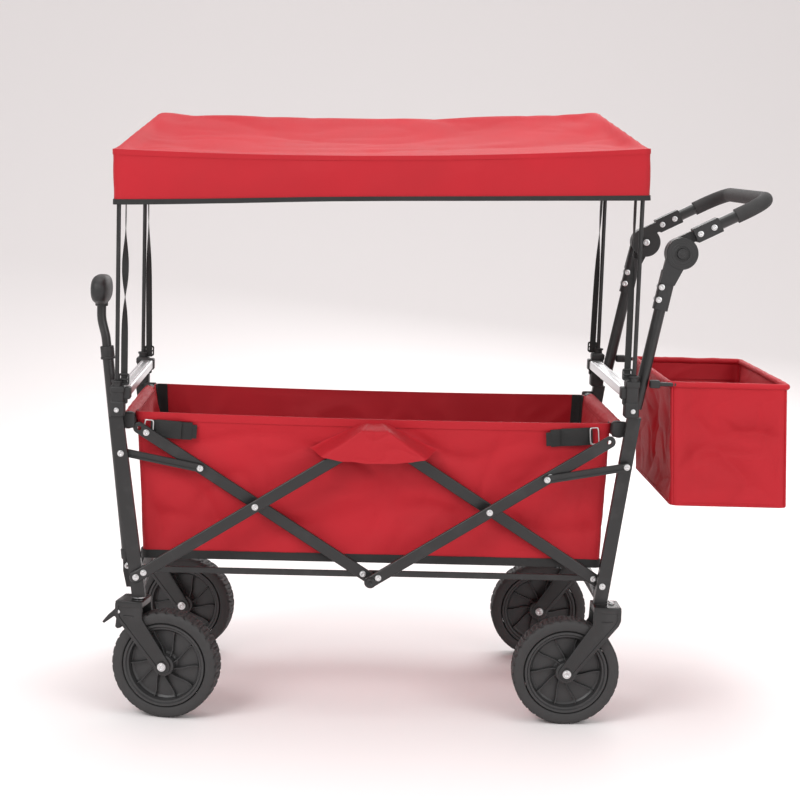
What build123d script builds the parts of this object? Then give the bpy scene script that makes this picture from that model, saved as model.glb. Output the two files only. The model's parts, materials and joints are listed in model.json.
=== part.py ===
"""A folding pull wagon with a canopy: a scissor frame, a fabric tub, a push handle and a pull handle.

Millimetres, +Z up, -X to the front. The origin is on the ground under the middle of the whole wagon.
The left side is -Y. A plane Plane.XZ.offset(w) lies w outboard of the middle on the left side, and a
shape made there is mirrored to the right side.
"""

import os
from math import atan2, cos, degrees, hypot, radians, sin

from build123d import *

os.makedirs("parts", exist_ok=True)

# The wagon's middle lies ahead of the origin, because the basket and the push handle reach further back.
mid_x = -116

# Widths from the wagon's middle plane: each layer lies outside the one before it by a running gap
tub_w = 205.5
bar_thick = 8
strut_thick = 5
post_depth = 15
arm_thick = 5
layer_gap = 1
inner_bar_w = tub_w + 5
front_strut_w = inner_bar_w + bar_thick + layer_gap
post_w = front_strut_w + strut_thick + 1.5
outer_bar_w = post_w + post_depth + layer_gap
rear_strut_w = outer_bar_w + bar_thick + 1.5
front_arm_w = inner_bar_w - 4 - arm_thick
rear_arm_w = front_arm_w - layer_gap - arm_thick

# Scissor frame
half_span = 440  # from the middle to the lower end pivots
pivot_z = 266
scissor_rise = 278  # the top pivots above the lower ones
bar_width = 22
bar_end = 12  # a bar runs on past its end pivot by this much
pivot_r = 4
fit_gap = 0.05  # radial clearance of a pin in its hole

# Posts and crossbars
post_width = 25
post_wall = 1.5
front_post_foot = (5 - half_span, pivot_z - 40)
front_post_head = (-41 - half_span, 568)
rear_post_foot = (half_span - 2, pivot_z - 34)
rear_post_head = (half_span + 46, 590)
lower_bar_size = 20
lower_bar_z = 243
top_bar_width = 25
top_bar_height = 18
bar_wall = 1.5

# Corner brackets
bracket_w = (post_w - 10, post_w + post_depth + 6)
front_bracket_x = (-57 - half_span, -29 - half_span)
front_bracket_top = 626
rear_bracket_x = (half_span + 29, half_span + 65)
rear_bracket_top = 660
front_top_bar = (-30 - half_span, 612)
rear_top_bar = (half_span + 34, 636)

# Struts, as their post end and their bar end
strut_width = 15
strut_post_z = 499
strut_bar_x = half_span - 115
strut_bolt_r = 3
strut_head = (5.5, 1.2)

# Floor arms
arm_pivot_x = half_span - 10
arm_z = 272
arm_height = 12
arm_pin_r = 4

# Rim tubes at the tub's two ends
rim_tube_r = 8
front_rim = (-21.5 - half_span, 557)
rear_rim = (half_span + 21.5, 563)
cap_w = (post_w - 36, post_w - 0.5)
cap_size = 17

# Wheels
tyre_r = 101.6
tyre_width = 48
rim_r = 79.5
rim_flange = 6
hub_r = 20
axle_r = 6
front_trail = 56
rear_trail = 62
front_wheel_w = post_w + post_depth / 2
rear_wheel_w = post_w + post_depth / 2 + 4.5
caster_turn = -12  # the casters stand turned by this angle about their kingpins
fork_gap = tyre_width / 2 + 3  # from the wheel's middle plane to a fork leg
leg_thick = 4
crown_top = 222.5
crown_thick = 14
kingpin_r = 5
kingpin_back = 36  # the crown runs on behind the kingpin by this much
kingpin_front = 14
axle_head = (8, 3.5)
brake_pivot = (-30, 201)  # from the kingpin, in the fork's plane
brake_pin_r = 3
brake_half_width = 20

# Tub and floor mat
tub_wall = 3
tub_floor_z = 294
tub_rim_z = 574
tub_floor_x = (15 - half_span, half_span - 9)
tub_rim_x = (-16 - half_span, half_span + 12)
mat_thick = 10
mat_gap = 6

# Canopy
hoop_r = 4
hoop_w = post_w + 12
front_hoop_x = -40 - half_span
rear_hoop_x = half_span + 42
hoop_socket_depth = 24
canopy_length = 2 * half_span + 104
canopy_w = hoop_w + hoop_r + 10
canopy_eave = (0, 1076)  # the middle of the eave's plane
canopy_rise = 31  # the rear end stands higher than the front end by this much
skirt_depth = 95
ridge_height = 76
ridge_inset = 62
canopy_wall = 3
strap_width = 12
strap_thick = 1.5

# Push handle
handle_tube_r = 11
handle_w = bracket_w[0] - layer_gap - handle_tube_r
handle_lean = 10.8
handle_foot = (half_span + 43 + handle_tube_r, 604)
handle_sleeve_z = 792  # the lower sleeve's lower end
tilt_hub = (handle_foot[0] + 71, 899)
disc_r = 30
sleeve_width = 28
disc_split_w = handle_w + 0.2
disc_outer_w = handle_w + sleeve_width / 2
disc_inner_w = handle_w - sleeve_width / 2
sleeve_offset = 19
lower_sleeve_length = 74
upper_sleeve = (36, 88)  # the block's ends, from the tilt hub along the handle
handle_rise = 27
bow_reach = 193
bow_corner_r = 52
grip_r = handle_tube_r + 3
grip_start = 122
button_r = 10
button_depth = 5  # how far the button sits in its socket
button_travel = 3

# Basket
basket_x = (half_span + 115, half_span + 343)
basket_foot_x = (half_span + 120, half_span + 349)
basket_w = handle_w + 10
basket_z = (420, 648)
basket_wall = 3
basket_rod_r = 4
basket_rod_front = handle_foot[0] + 11 + handle_tube_r  # the rod's front ends, at the handle tubes
basket_rod_bend = 14

# Pull handle
pull_pivot = (-40 - half_span, 234)
pull_lean = 6.2
pull_tube_r = 11
pull_tube_length = 440
pull_inner_r = pull_tube_r - 2
pull_bend = 35  # the rise of each half of the inner tube's lean towards the grip
pull_knee = -9
pull_grip_width = 116
pull_grip_height = 58
pull_grip_depth = 38
bracket_half = 18

half_rise = scissor_rise / 2
top_z = pivot_z + scissor_rise
cross_z = pivot_z + half_rise
cross_x = half_span / 2


def save(part, label):
    part.label = label
    export_step(part, f"parts/{label}.step")


def side_plane(w):
    return Plane.XZ.offset(w)


def at(x, z):
    """A point of the side view, with x measured from the wagon's middle."""
    return (mid_x + x, z)


def lean_of(foot, head):
    return degrees(atan2(head[0] - foot[0], head[1] - foot[1]))


def post_x(foot, head, z):
    """Where a post's axis is at a height."""
    return foot[0] + (head[0] - foot[0]) * (z - foot[1]) / (head[1] - foot[1])


def rounded_rims(part):
    """The outer edges of a plate's two flat sides, without those of its holes."""
    return [e for f in part.faces().filter_by(Axis.Y) for e in f.outer_wire().edges()]


def bars(label, start, end, inner_w, width, thick, beyond, holes):
    """A pair of flat bars with round ends, one each side, with pivot holes (x, z, radius)."""
    length = hypot(end[0] - start[0], end[1] - start[1])
    angle = degrees(atan2(end[1] - start[1], end[0] - start[0]))
    with BuildPart() as bar:
        with BuildSketch(side_plane(inner_w)):
            with Locations(at((start[0] + end[0]) / 2, (start[1] + end[1]) / 2)):
                SlotOverall(length + 2 * beyond, width, rotation=angle)
            for x, z, r in holes:
                with Locations(at(x, z)):
                    Circle(r, mode=Mode.SUBTRACT)
        extrude(amount=thick)
        fillet(rounded_rims(bar), thick * 0.28)
        mirror(about=Plane.XZ)
    save(bar.part, label)


def side_pins(label, pins, more=None):
    """Bolts along Y on both sides: (x, z, shaft radius, from w, to w, head radius, head thickness)."""
    with BuildPart() as group:
        for x, z, r, inner, outer, head_r, head in pins:
            lengths = ((inner, outer - inner, r), (outer, head, head_r), (inner - head, head, head_r))
            for w, length, radius in lengths:
                with BuildSketch(side_plane(w)):
                    with Locations(at(x, z)):
                        Circle(radius)
                extrude(amount=length)
        if more:
            more()
        mirror(about=Plane.XZ)
    save(group.part, label)


# Scissor bars: four pairs, the outer ones over the posts and the inner ones behind them
pivot_hole = pivot_r + fit_gap
scissor = (
    ("front_outer_bars", (-half_span, pivot_z), (0, top_z), outer_bar_w),
    ("rear_outer_bars", (0, pivot_z), (half_span, top_z), outer_bar_w),
    ("front_inner_bars", (-half_span, top_z), (0, pivot_z), inner_bar_w),
    ("rear_inner_bars", (0, top_z), (half_span, pivot_z), inner_bar_w),
)
for label, start, end, w in scissor:
    middle = ((start[0] + end[0]) / 2, (start[1] + end[1]) / 2)
    holes = [(*point, pivot_hole) for point in (start, middle, end)]
    bars(label, start, end, w, bar_width, bar_thick, bar_end, holes)

# Pivot bolts of the scissor: one at each crossing, at the low centre pivot and at the top centre pivot
inner_face = inner_bar_w - 0.3
outer_face = outer_bar_w + bar_thick + 0.3
head_r = 6
head_thick = 1.2
for label, points in (
    ("front_outer_bar_bolts", [(-cross_x, cross_z)]),
    ("rear_outer_bar_bolts", [(cross_x, cross_z), (0, pivot_z)]),
    ("top_centre_bolts", [(0, top_z)]),
):
    side_pins(label, [(x, z, pivot_r, inner_face, outer_face, head_r, head_thick) for x, z in points])

# Struts: each runs from its post to the middle of a bar's upper half
front_strut_post = (post_x(front_post_foot, front_post_head, strut_post_z), strut_post_z)
rear_strut_post = (post_x(rear_post_foot, rear_post_head, strut_post_z), strut_post_z)
strut_bar_z = cross_z + (strut_bar_x - cross_x) * half_rise / cross_x
strut_hole = strut_bolt_r + fit_gap
for label, post_end, bar_x, w in (
    ("front_struts", front_strut_post, -strut_bar_x, front_strut_w),
    ("rear_struts", rear_strut_post, strut_bar_x, rear_strut_w),
):
    ends = (post_end, (bar_x, strut_bar_z))
    holes = [(*post_end, strut_hole)]
    bars(label, *ends, w, strut_width, strut_thick, strut_width / 2, holes)

# Posts: rectangular tubes that lean outwards
for label, foot, head, bolts in (
    (
        "front_posts",
        front_post_foot,
        front_post_head,
        [(-half_span, pivot_z, pivot_hole), (*front_strut_post, strut_hole)],
    ),
    (
        "rear_posts",
        rear_post_foot,
        rear_post_head,
        [(half_span, pivot_z, pivot_hole), (*rear_strut_post, strut_hole)],
    ),
):
    lean = radians(lean_of(foot, head))
    with BuildPart() as post:
        for shrink, w, depth, mode in (
            (0, post_w, post_depth, Mode.ADD),
            (post_wall, post_w + post_wall, post_depth - 2 * post_wall, Mode.SUBTRACT),
        ):
            half = (post_width / 2 - shrink) / cos(lean)
            ends = [(foot, -half), (foot, half), (head, half), (head, -half)]
            with BuildSketch(side_plane(w)):
                with BuildLine():
                    Polyline(*[at(x + side, z) for (x, z), side in ends], close=True)
                make_face()
            extrude(amount=depth, mode=mode)
        for x, z, r in bolts:
            with BuildSketch(side_plane(post_w - 1)):
                with Locations(at(x, z)):
                    Circle(r)
            extrude(amount=post_depth + 2, mode=Mode.SUBTRACT)
        mirror(about=Plane.XZ)
    save(post.part, label)

# Crossbars: the low ones join the post feet and the top ones join the corner brackets
front_bar_x = post_x(front_post_foot, front_post_head, lower_bar_z)
rear_bar_x = post_x(rear_post_foot, rear_post_head, lower_bar_z)
for label, x, z, width, height, half_length in (
    ("front_lower_crossbar", front_bar_x, lower_bar_z, lower_bar_size, lower_bar_size, post_w),
    ("rear_lower_crossbar", rear_bar_x, lower_bar_z, lower_bar_size, lower_bar_size, post_w),
    ("front_top_crossbar", *front_top_bar, top_bar_width, top_bar_height, bracket_w[0]),
    ("rear_top_crossbar", *rear_top_bar, top_bar_width, top_bar_height, bracket_w[0]),
):
    with BuildPart() as crossbar:
        with BuildSketch(Plane.XZ):
            with Locations(at(x, z)):
                RectangleRounded(width, height, 3)
                RectangleRounded(width - 2 * bar_wall, height - 2 * bar_wall, 1.5, mode=Mode.SUBTRACT)
        extrude(amount=half_length, both=True)
    save(crossbar.part, label)

# Corner brackets: moulded blocks on the post heads that hold the top crossbar's end and the hoop's socket
for label, (x0, x1), z0, z1, hoop_x, (bar_x, bar_z) in (
    (
        "front_corner_brackets",
        front_bracket_x,
        front_post_head[1],
        front_bracket_top,
        front_hoop_x,
        front_top_bar,
    ),
    ("rear_corner_brackets", rear_bracket_x, rear_post_head[1], rear_bracket_top, rear_hoop_x, rear_top_bar),
):
    reach = (min(x0, bar_x - top_bar_width / 2 - 2), max(x1, bar_x + top_bar_width / 2 + 2))
    with BuildPart() as bracket:
        with BuildSketch(side_plane(bracket_w[0])):
            with Locations(at((x0 + x1) / 2, (z0 + z1) / 2)):
                RectangleRounded(x1 - x0, z1 - z0, 5)
            with Locations(at((reach[0] + reach[1]) / 2, bar_z)):
                RectangleRounded(reach[1] - reach[0], top_bar_height + 6, 4)
        extrude(amount=bracket_w[1] - bracket_w[0])
        fillet(rounded_rims(bracket), 2)
        with BuildSketch(Plane.XY.offset(z1)):
            with Locations((mid_x + hoop_x, -hoop_w)):
                Circle(hoop_r + 0.1)
        extrude(amount=-hoop_socket_depth, mode=Mode.SUBTRACT)
        mirror(about=Plane.XZ)
    save(bracket.part, label)

# Rim tubes across the two ends of the tub, with a moulded corner cap between each tube end and its post
for end, (x, z) in (("front", front_rim), ("rear", rear_rim)):
    with BuildPart() as rim_tube:
        with BuildSketch(Plane.XZ):
            with Locations(at(x, z)):
                Circle(rim_tube_r)
                Circle(rim_tube_r - bar_wall, mode=Mode.SUBTRACT)
        extrude(amount=cap_w[0], both=True)
    save(rim_tube.part, f"{end}_rim_tube")
    with BuildPart() as caps:
        with BuildSketch(side_plane(cap_w[0])):
            with Locations(at(x, z)):
                RectangleRounded(cap_size, cap_size + 4, 4)
        extrude(amount=cap_w[1] - cap_w[0])
        mirror(about=Plane.XZ)
    save(caps.part, f"{end}_rim_corner_caps")

# Floor arms: two a side under the tub, which meet at the middle and rise there when the wagon folds
front_arm_pivot = (-arm_pivot_x, arm_z)
rear_arm_pivot = (arm_pivot_x, arm_z)
for label, pivot, w in (
    ("front_floor_arms", front_arm_pivot, front_arm_w),
    ("rear_floor_arms", rear_arm_pivot, rear_arm_w),
):
    tip = (0, arm_z)
    bars(label, pivot, tip, w, arm_height, arm_thick, arm_height / 2, [(*pivot, arm_pin_r + fit_gap)])


# Bolts of the end frames: bar pivots, strut pivots, floor-arm pins, kingpins and, at the rear, axles
def arm_pin(pivot, arm_w, bar_x):
    """A pin for a floor arm, on a lug that stands on the low crossbar."""
    x, z = pivot
    with BuildSketch(side_plane(arm_w - 8)) as profile:
        with Locations(at(x, z)):
            Circle(arm_pin_r)
    extrude(profile.sketch, amount=8 + arm_thick + 0.3)
    with BuildSketch(side_plane(arm_w + arm_thick + 0.3)) as profile:
        with Locations(at(x, z)):
            Circle(arm_pin_r + 2)
    extrude(profile.sketch, amount=1.7)
    toward = 1 if bar_x > x else -1
    reach = abs(bar_x - x) - lower_bar_size / 2
    low = lower_bar_z + lower_bar_size / 2
    with BuildSketch(side_plane(arm_w - 8)) as profile:
        with BuildLine():
            corner = bar_x - toward * lower_bar_size / 2
            points = [(x - toward * 8, z + 7), (x + toward * 7, z + 7), (bar_x, low), (corner, low)]
            points += [(corner, low - 12), (x - toward * 8, z - 8)]
            Polyline(*[at(*point) for point in points], close=True)
        make_face()
    extrude(profile.sketch, amount=7.6)


def kingpin(x, z, w):
    """A kingpin with a bearing washer under its post's foot and a head under the fork's crown."""
    low = crown_top - crown_thick
    for z0, z1, r in (
        (low - 3.5, low - 0.4, 9),
        (low - 0.4, z + 18, kingpin_r),
        (crown_top + 0.4, z - 0.2, 12),
    ):
        with BuildSketch(Plane.XY.offset(z0)) as profile:
            with Locations((mid_x + x, -w)):
                Circle(r)
        extrude(profile.sketch, amount=z1 - z0)


side_pins(
    "front_frame_bolts",
    [
        (-half_span, pivot_z, pivot_r, post_w - 0.3, outer_face, head_r, head_thick),
        (*front_strut_post, strut_bolt_r, front_strut_w - 0.3, post_w + post_depth + 0.3, *strut_head),
    ],
    lambda: (
        arm_pin(front_arm_pivot, front_arm_w, front_bar_x),
        kingpin(front_post_foot[0], front_post_foot[1], front_wheel_w),
    ),
)
rear_outer = rear_strut_w + strut_thick + 0.3
side_pins(
    "rear_frame_bolts",
    [
        (half_span, pivot_z, pivot_r, inner_face, post_w + post_depth + 0.3, head_r, head_thick),
        (*rear_strut_post, strut_bolt_r, post_w - 0.3, rear_outer, *strut_head),
        (
            rear_post_foot[0] - rear_trail,
            tyre_r,
            axle_r,
            rear_wheel_w - fork_gap - leg_thick - 0.2,
            rear_wheel_w + fork_gap + leg_thick + 0.2,
            *axle_head,
        ),
    ],
    lambda: arm_pin(rear_arm_pivot, rear_arm_w, rear_bar_x),
)


# Forks: a crown over the wheel with a leg each side, made in the plane through the wheel's middle
def wheel_plane(x, y, turn):
    """The plane of a fork, through its kingpin: x along the trail, y up, and its normal along the axle."""
    a = radians(turn)
    return Plane(origin=(mid_x + x, y, 0), x_dir=(cos(a), sin(a), 0), z_dir=(sin(a), -cos(a), 0))


def fork(plane, trail, top, bore):
    """A fork's crown and two legs, with the axle hole and a bore for the kingpin."""
    sign = 1 if trail > 0 else -1
    low = top - crown_thick
    back = -sign * kingpin_back
    with BuildSketch(plane.offset(-fork_gap - leg_thick)) as profile:
        with BuildLine():
            Polyline(
                (back, low),
                (sign * kingpin_front, low),
                (sign * kingpin_front, top),
                (back + sign * 4, top),
                (back, top - 5),
                close=True,
            )
        make_face()
    extrude(profile.sketch, amount=2 * (fork_gap + leg_thick))
    for w in (-fork_gap - leg_thick, fork_gap):
        with BuildSketch(plane.offset(w)) as profile:
            with BuildLine():
                Polyline(
                    (back, low + 1),
                    (back + sign * 3, low - 15),
                    (trail - sign * 15, tyre_r - 6),
                    (trail, tyre_r - 14),
                    (trail + sign * 14, tyre_r + 4),
                    (sign * kingpin_front, low + 1),
                    close=True,
                )
            make_face()
            with Locations((trail, tyre_r)):
                Circle(15)
                Circle(axle_r + fit_gap, mode=Mode.SUBTRACT)
        extrude(profile.sketch, amount=leg_thick)
    if bore:
        centre = plane.origin
        with BuildSketch(Plane.XY.offset(low - 1)) as profile:
            with Locations((centre.X, centre.Y)):
                Circle(bore)
        extrude(profile.sketch, amount=crown_thick + 2, mode=Mode.SUBTRACT)


casters = {}
for side, sign in (("left", -1), ("right", 1)):
    casters[side] = wheel_plane(front_post_foot[0], sign * front_wheel_w, caster_turn)
    with BuildPart() as caster_fork:
        fork(casters[side], front_trail, crown_top, kingpin_r + fit_gap)
        with BuildSketch(casters[side].offset(-fork_gap)):
            with Locations(brake_pivot):
                Circle(brake_pin_r)
        extrude(amount=2 * fork_gap)
    save(caster_fork.part, f"caster_fork_{side}")
    half_axle = fork_gap + leg_thick + 0.2
    with BuildPart() as axle:
        for w, length, r in (
            (-half_axle, 2 * half_axle, axle_r),
            (half_axle, axle_head[1], axle_head[0]),
            (-half_axle - axle_head[1], axle_head[1], axle_head[0]),
        ):
            with BuildSketch(casters[side].offset(w)):
                with Locations((front_trail, tyre_r)):
                    Circle(r)
            extrude(amount=length)
    save(axle.part, f"caster_axle_{side}")

    # Brake pedal: a rocker on the fork's legs, whose lower end presses on the tyre
    with BuildPart() as brake:
        with BuildSketch(casters[side].offset(-brake_half_width)):
            with Locations(brake_pivot):
                Circle(6)
            with BuildLine():
                px, pz = brake_pivot
                Polyline(
                    (px + 4, pz + 4.4),
                    (px - 33, pz - 16),
                    (px - 30, pz - 22),
                    (px + 2, pz - 5.6),
                    close=True,
                )
            make_face()
            with BuildLine():
                Polyline((px - 5, pz - 2), (px - 6, pz - 34), (px + 2, pz - 36), (px + 5, pz - 2), close=True)
            make_face()
            with Locations(brake_pivot):
                Circle(brake_pin_r + fit_gap, mode=Mode.SUBTRACT)
        extrude(amount=2 * brake_half_width)
    save(brake.part, f"brake_pedal_{side}")

rear_forks_top = rear_post_foot[1]
with BuildPart() as rear_forks:
    fork(wheel_plane(rear_post_foot[0], -rear_wheel_w, 0), -rear_trail, rear_forks_top, None)
    mirror(about=Plane.XZ)
save(rear_forks.part, "rear_forks")

# Wheels: a tyre on a rim with a hub, all on the fork's plane
wheels = {f"front_{side}": (plane, front_trail) for side, plane in casters.items()}
for side, sign in (("left", -1), ("right", 1)):
    wheels[f"rear_{side}"] = (wheel_plane(rear_post_foot[0], sign * rear_wheel_w, 0), -rear_trail)
for name, (plane, trail) in wheels.items():
    with BuildPart() as tyre:
        with BuildSketch(plane.offset(-tyre_width / 2)):
            with Locations((trail, tyre_r)):
                Circle(tyre_r)
                Circle(rim_r + 0.1, mode=Mode.SUBTRACT)
        extrude(amount=tyre_width)
        fillet(tyre.edges().filter_by(GeomType.CIRCLE).filter_by(lambda e: e.radius > tyre_r - 1), 7)
    save(tyre.part, f"{name}_tyre")
    with BuildPart() as rim:
        for half, outer, inner in (
            (tyre_width / 2 - 4, rim_r, rim_r - rim_flange),
            (4, rim_r - rim_flange / 2, hub_r - 3),
            (tyre_width / 2, hub_r, axle_r + fit_gap),
        ):
            with BuildSketch(plane.offset(-half)):
                with Locations((trail, tyre_r)):
                    Circle(outer)
                    Circle(inner, mode=Mode.SUBTRACT)
            extrude(amount=2 * half)
    save(rim.part, f"{name}_rim")

# Tub: a fabric bag, open at the top, whose ends lean with the posts
with BuildPart() as tub:
    for inset, low, mode in ((0, tub_floor_z, Mode.ADD), (tub_wall, tub_floor_z + tub_wall, Mode.SUBTRACT)):
        grow = (tub_rim_x[0] - tub_floor_x[0]) / (tub_rim_z - tub_floor_z)
        for z in (low, tub_rim_z):
            share = (z - tub_floor_z) / (tub_rim_z - tub_floor_z)
            x0, x1 = (f + (r - f) * share + s * inset for f, r, s in zip(tub_floor_x, tub_rim_x, (1, -1)))
            with BuildSketch(Plane.XY.offset(z)):
                with Locations((mid_x + (x0 + x1) / 2, 0)):
                    Rectangle(x1 - x0, 2 * (tub_w - inset))
        loft(mode=mode)
    for x, z in (front_rim, rear_rim):
        with Locations((mid_x + x, 0, z + 10)):
            Box(cap_size + 4, 500, 2 * cap_size + 9, mode=Mode.SUBTRACT)
save(tub.part, "tub_fabric")

mat_x = tuple(f + s * mat_gap for f, s in zip(tub_floor_x, (1, -1)))
with BuildPart() as mat:
    with BuildSketch(Plane.XY.offset(tub_floor_z + tub_wall + 0.2)):
        with Locations((mid_x + sum(mat_x) / 2, 0)):
            RectangleRounded(mat_x[1] - mat_x[0], 2 * (tub_w - tub_wall - mat_gap), 12)
    extrude(amount=mat_thick)
save(mat.part, "floor_mat")

# Canopy: a skirt and a shallow hipped roof, in a plane that rises to the rear
tilt = atan2(canopy_rise, canopy_length)
eave = Plane(
    origin=(mid_x + canopy_eave[0], 0, canopy_eave[1]),
    x_dir=(cos(tilt), 0, sin(tilt)),
    z_dir=(-sin(tilt), 0, cos(tilt)),
)
with BuildPart() as canopy:
    for inset, mode in ((0, Mode.ADD), (canopy_wall, Mode.SUBTRACT)):
        size = (canopy_length - 2 * inset, 2 * (canopy_w - inset))
        with BuildSketch(eave):
            Rectangle(*size)
        extrude(amount=-skirt_depth, mode=mode)
        with BuildSketch(eave):
            Rectangle(*size)
        with BuildSketch(eave.offset(ridge_height - 1.3 * inset)):
            Rectangle(canopy_length - 2 * ridge_inset - 2 * inset, 14 - 2 * inset)
        loft(mode=mode)
save(canopy.part, "canopy_fabric")


# Canopy hoops: a rod bent up from each bracket and over the end of the roof, with a strap beside each leg
def hoop_path(x, foot_z, toward):
    """The hoop's five points: the legs, the eave corners and the ridge end."""
    slope = canopy_rise / canopy_length
    eave_z = canopy_eave[1] + (x - canopy_eave[0]) * slope
    ridge_x = x + toward * (ridge_inset + 2)
    ridge_z = canopy_eave[1] + ridge_height - 21 + (ridge_x - canopy_eave[0]) * slope
    leg = [(mid_x + x, -hoop_w, foot_z), (mid_x + x, -hoop_w, eave_z - 14)]
    top = [(mid_x + ridge_x, 0, ridge_z)]
    return leg + top + [(px, -py, pz) for px, py, pz in reversed(leg)]


for end, x, top, toward in (
    ("front", front_hoop_x, front_bracket_top, 1),
    ("rear", rear_hoop_x, rear_bracket_top, -1),
):
    with BuildPart() as hoop:
        with BuildLine() as path:
            FilletPolyline(*hoop_path(x, top - hoop_socket_depth + 0.5, toward), radius=30)
        with BuildSketch(Plane(origin=path.line @ 0, z_dir=path.line % 0)):
            Circle(hoop_r)
        sweep()
    save(hoop.part, f"{end}_canopy_hoop")
    strap_x = x + toward * 14
    hem_z = canopy_eave[1] - skirt_depth + x * canopy_rise / canopy_length
    with BuildPart() as straps:
        with BuildSketch(side_plane(hoop_w - 2)):
            with BuildLine():
                foot = (strap_x - strap_width / 2, strap_x + strap_width / 2)
                head = (strap_x - strap_width / 2 - toward * 2, strap_x + strap_width / 2 - toward * 2)
                Polyline(
                    at(foot[0], top + 0.3),
                    at(foot[1], top + 0.3),
                    at(head[1], hem_z + 25),
                    at(head[0], hem_z + 25),
                    close=True,
                )
            make_face()
        extrude(amount=strap_thick)
        mirror(about=Plane.XZ)
    save(straps.part, f"{end}_canopy_straps")

# Push handle, lower part: two tubes bolted behind the top crossbar, with a moulded sleeve on each
def handle_plane(w, pivot, angle):
    """A side plane at a tilt hub, with x along a direction angle degrees above the level."""
    a = radians(angle)
    return Plane(origin=(mid_x + pivot[0], -w, pivot[1]), x_dir=(cos(a), 0, sin(a)), z_dir=(0, -1, 0))


lean = radians(handle_lean)
tube_dir = (sin(lean), cos(lean))
sleeve_low = handle_sleeve_z
tube_top = sleeve_low + 42
tube_length = (tube_top - handle_foot[1]) / cos(lean)
low_plane = Plane(
    origin=(mid_x + handle_foot[0], -handle_w, handle_foot[1]),
    x_dir=(cos(lean), 0, -sin(lean)),
    z_dir=(sin(lean), 0, cos(lean)),
)
with BuildPart() as lower_tubes:
    with BuildSketch(low_plane):
        Circle(handle_tube_r)
        Circle(handle_tube_r - bar_wall, mode=Mode.SUBTRACT)
    extrude(amount=tube_length)
    mirror(about=Plane.XZ)
save(lower_tubes.part, "handle_lower_tubes")

with BuildPart() as lower_sleeves:
    start = (sleeve_low - handle_foot[1]) / cos(lean)
    with BuildSketch(low_plane.offset(start)):
        RectangleRounded(sleeve_width, sleeve_width - 2, 8)
    extrude(amount=lower_sleeve_length)
    with BuildSketch(low_plane.offset(start)):
        Circle(handle_tube_r + 0.05)
    extrude(amount=tube_length - start + 0.1, mode=Mode.SUBTRACT)
    # the cheek that carries the outer half of the tilt hub
    neck = (handle_foot[0] + tube_dir[0] * (start + 50), handle_foot[1] + tube_dir[1] * (start + 50))
    with BuildSketch(side_plane(disc_split_w + 0.3)):
        with Locations(at(*tilt_hub)):
            Circle(disc_r)
        with BuildLine():
            side = sleeve_width / 2
            Polyline(
                at(neck[0] - side * cos(lean), neck[1] + side * sin(lean)),
                at(neck[0] + side * cos(lean), neck[1] - side * sin(lean)),
                at(tilt_hub[0] + 8, tilt_hub[1] - 20),
                at(tilt_hub[0] - 24, tilt_hub[1] + 16),
                close=True,
            )
        make_face()
    extrude(amount=disc_outer_w - disc_split_w - 0.3)
    with BuildSketch(side_plane(disc_outer_w - button_depth - button_travel - 1)):
        with Locations(at(*tilt_hub)):
            Circle(button_r + 0.3)
    extrude(amount=button_depth + button_travel + 2, mode=Mode.SUBTRACT)
    with BuildSketch(side_plane(disc_inner_w - 2)):
        with Locations(at(*tilt_hub)):
            Circle(pivot_r)
    extrude(amount=disc_split_w + 1 - disc_inner_w + 2)
    with BuildSketch(side_plane(disc_inner_w - 4)):
        with Locations(at(*tilt_hub)):
            Circle(pivot_r + 5)
    extrude(amount=3.5)
    mirror(about=Plane.XZ)
save(lower_sleeves.part, "handle_lower_sleeves")

for side, sign in (("left", 1), ("right", -1)):
    with BuildPart() as button:
        with BuildSketch(side_plane(disc_outer_w - button_depth)):
            with Locations(at(*tilt_hub)):
                Circle(button_r)
        extrude(amount=button_depth + button_travel)
        fillet(button.faces().sort_by(Axis.Y)[0].edges(), 1.5)
        if sign < 0:
            mirror(about=Plane.XZ, mode=Mode.REPLACE)
    save(button.part, f"tilt_button_{side}")

# Push handle, upper part: the inner half of each tilt hub with its sleeve, the bow and its foam grip
with BuildPart() as upper_sleeves:
    with BuildSketch(handle_plane(disc_inner_w, tilt_hub, handle_rise)):
        Circle(disc_r)
        with Locations(((upper_sleeve[0] + 14) / 2, sleeve_offset)):
            Rectangle(upper_sleeve[0] + 14, sleeve_width * 0.75)
        Circle(pivot_r + fit_gap, mode=Mode.SUBTRACT)
    extrude(amount=disc_split_w - disc_inner_w)
    with BuildSketch(handle_plane(handle_w - sleeve_width / 2 + 1, tilt_hub, handle_rise)):
        with Locations((sum(upper_sleeve) / 2, sleeve_offset)):
            RectangleRounded(upper_sleeve[1] - upper_sleeve[0], sleeve_width, 2)
    extrude(amount=sleeve_width - 2)
    bore = handle_plane(handle_w, tilt_hub, handle_rise)
    mouth = bore.from_local_coords((upper_sleeve[0] + 10, sleeve_offset, 0))
    with BuildSketch(Plane(origin=mouth, z_dir=bore.x_dir)):
        Circle(handle_tube_r + 0.05)
    extrude(amount=upper_sleeve[1], mode=Mode.SUBTRACT)
    mirror(about=Plane.XZ)
save(upper_sleeves.part, "handle_upper_sleeves")


def bow_point(u, y):
    """A point of the push handle's bow, u along the handle from the tilt hub."""
    base = handle_plane(0, tilt_hub, handle_rise).from_local_coords((u, sleeve_offset, 0))
    return (base.X, y, base.Z)


def bow_tube(start_u, r, hollow):
    """A tube along the bow from start_u on one side round to start_u on the other."""
    corners = [bow_point(start_u, -handle_w), bow_point(bow_reach, -handle_w)]
    corners += [bow_point(bow_reach, handle_w), bow_point(start_u, handle_w)]
    with BuildLine() as path:
        FilletPolyline(*corners, radius=bow_corner_r)
    with BuildSketch(Plane(origin=path.line @ 0, z_dir=path.line % 0)) as profile:
        Circle(r)
        Circle(hollow, mode=Mode.SUBTRACT)
    sweep(profile.sketch, path=path.line)


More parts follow.
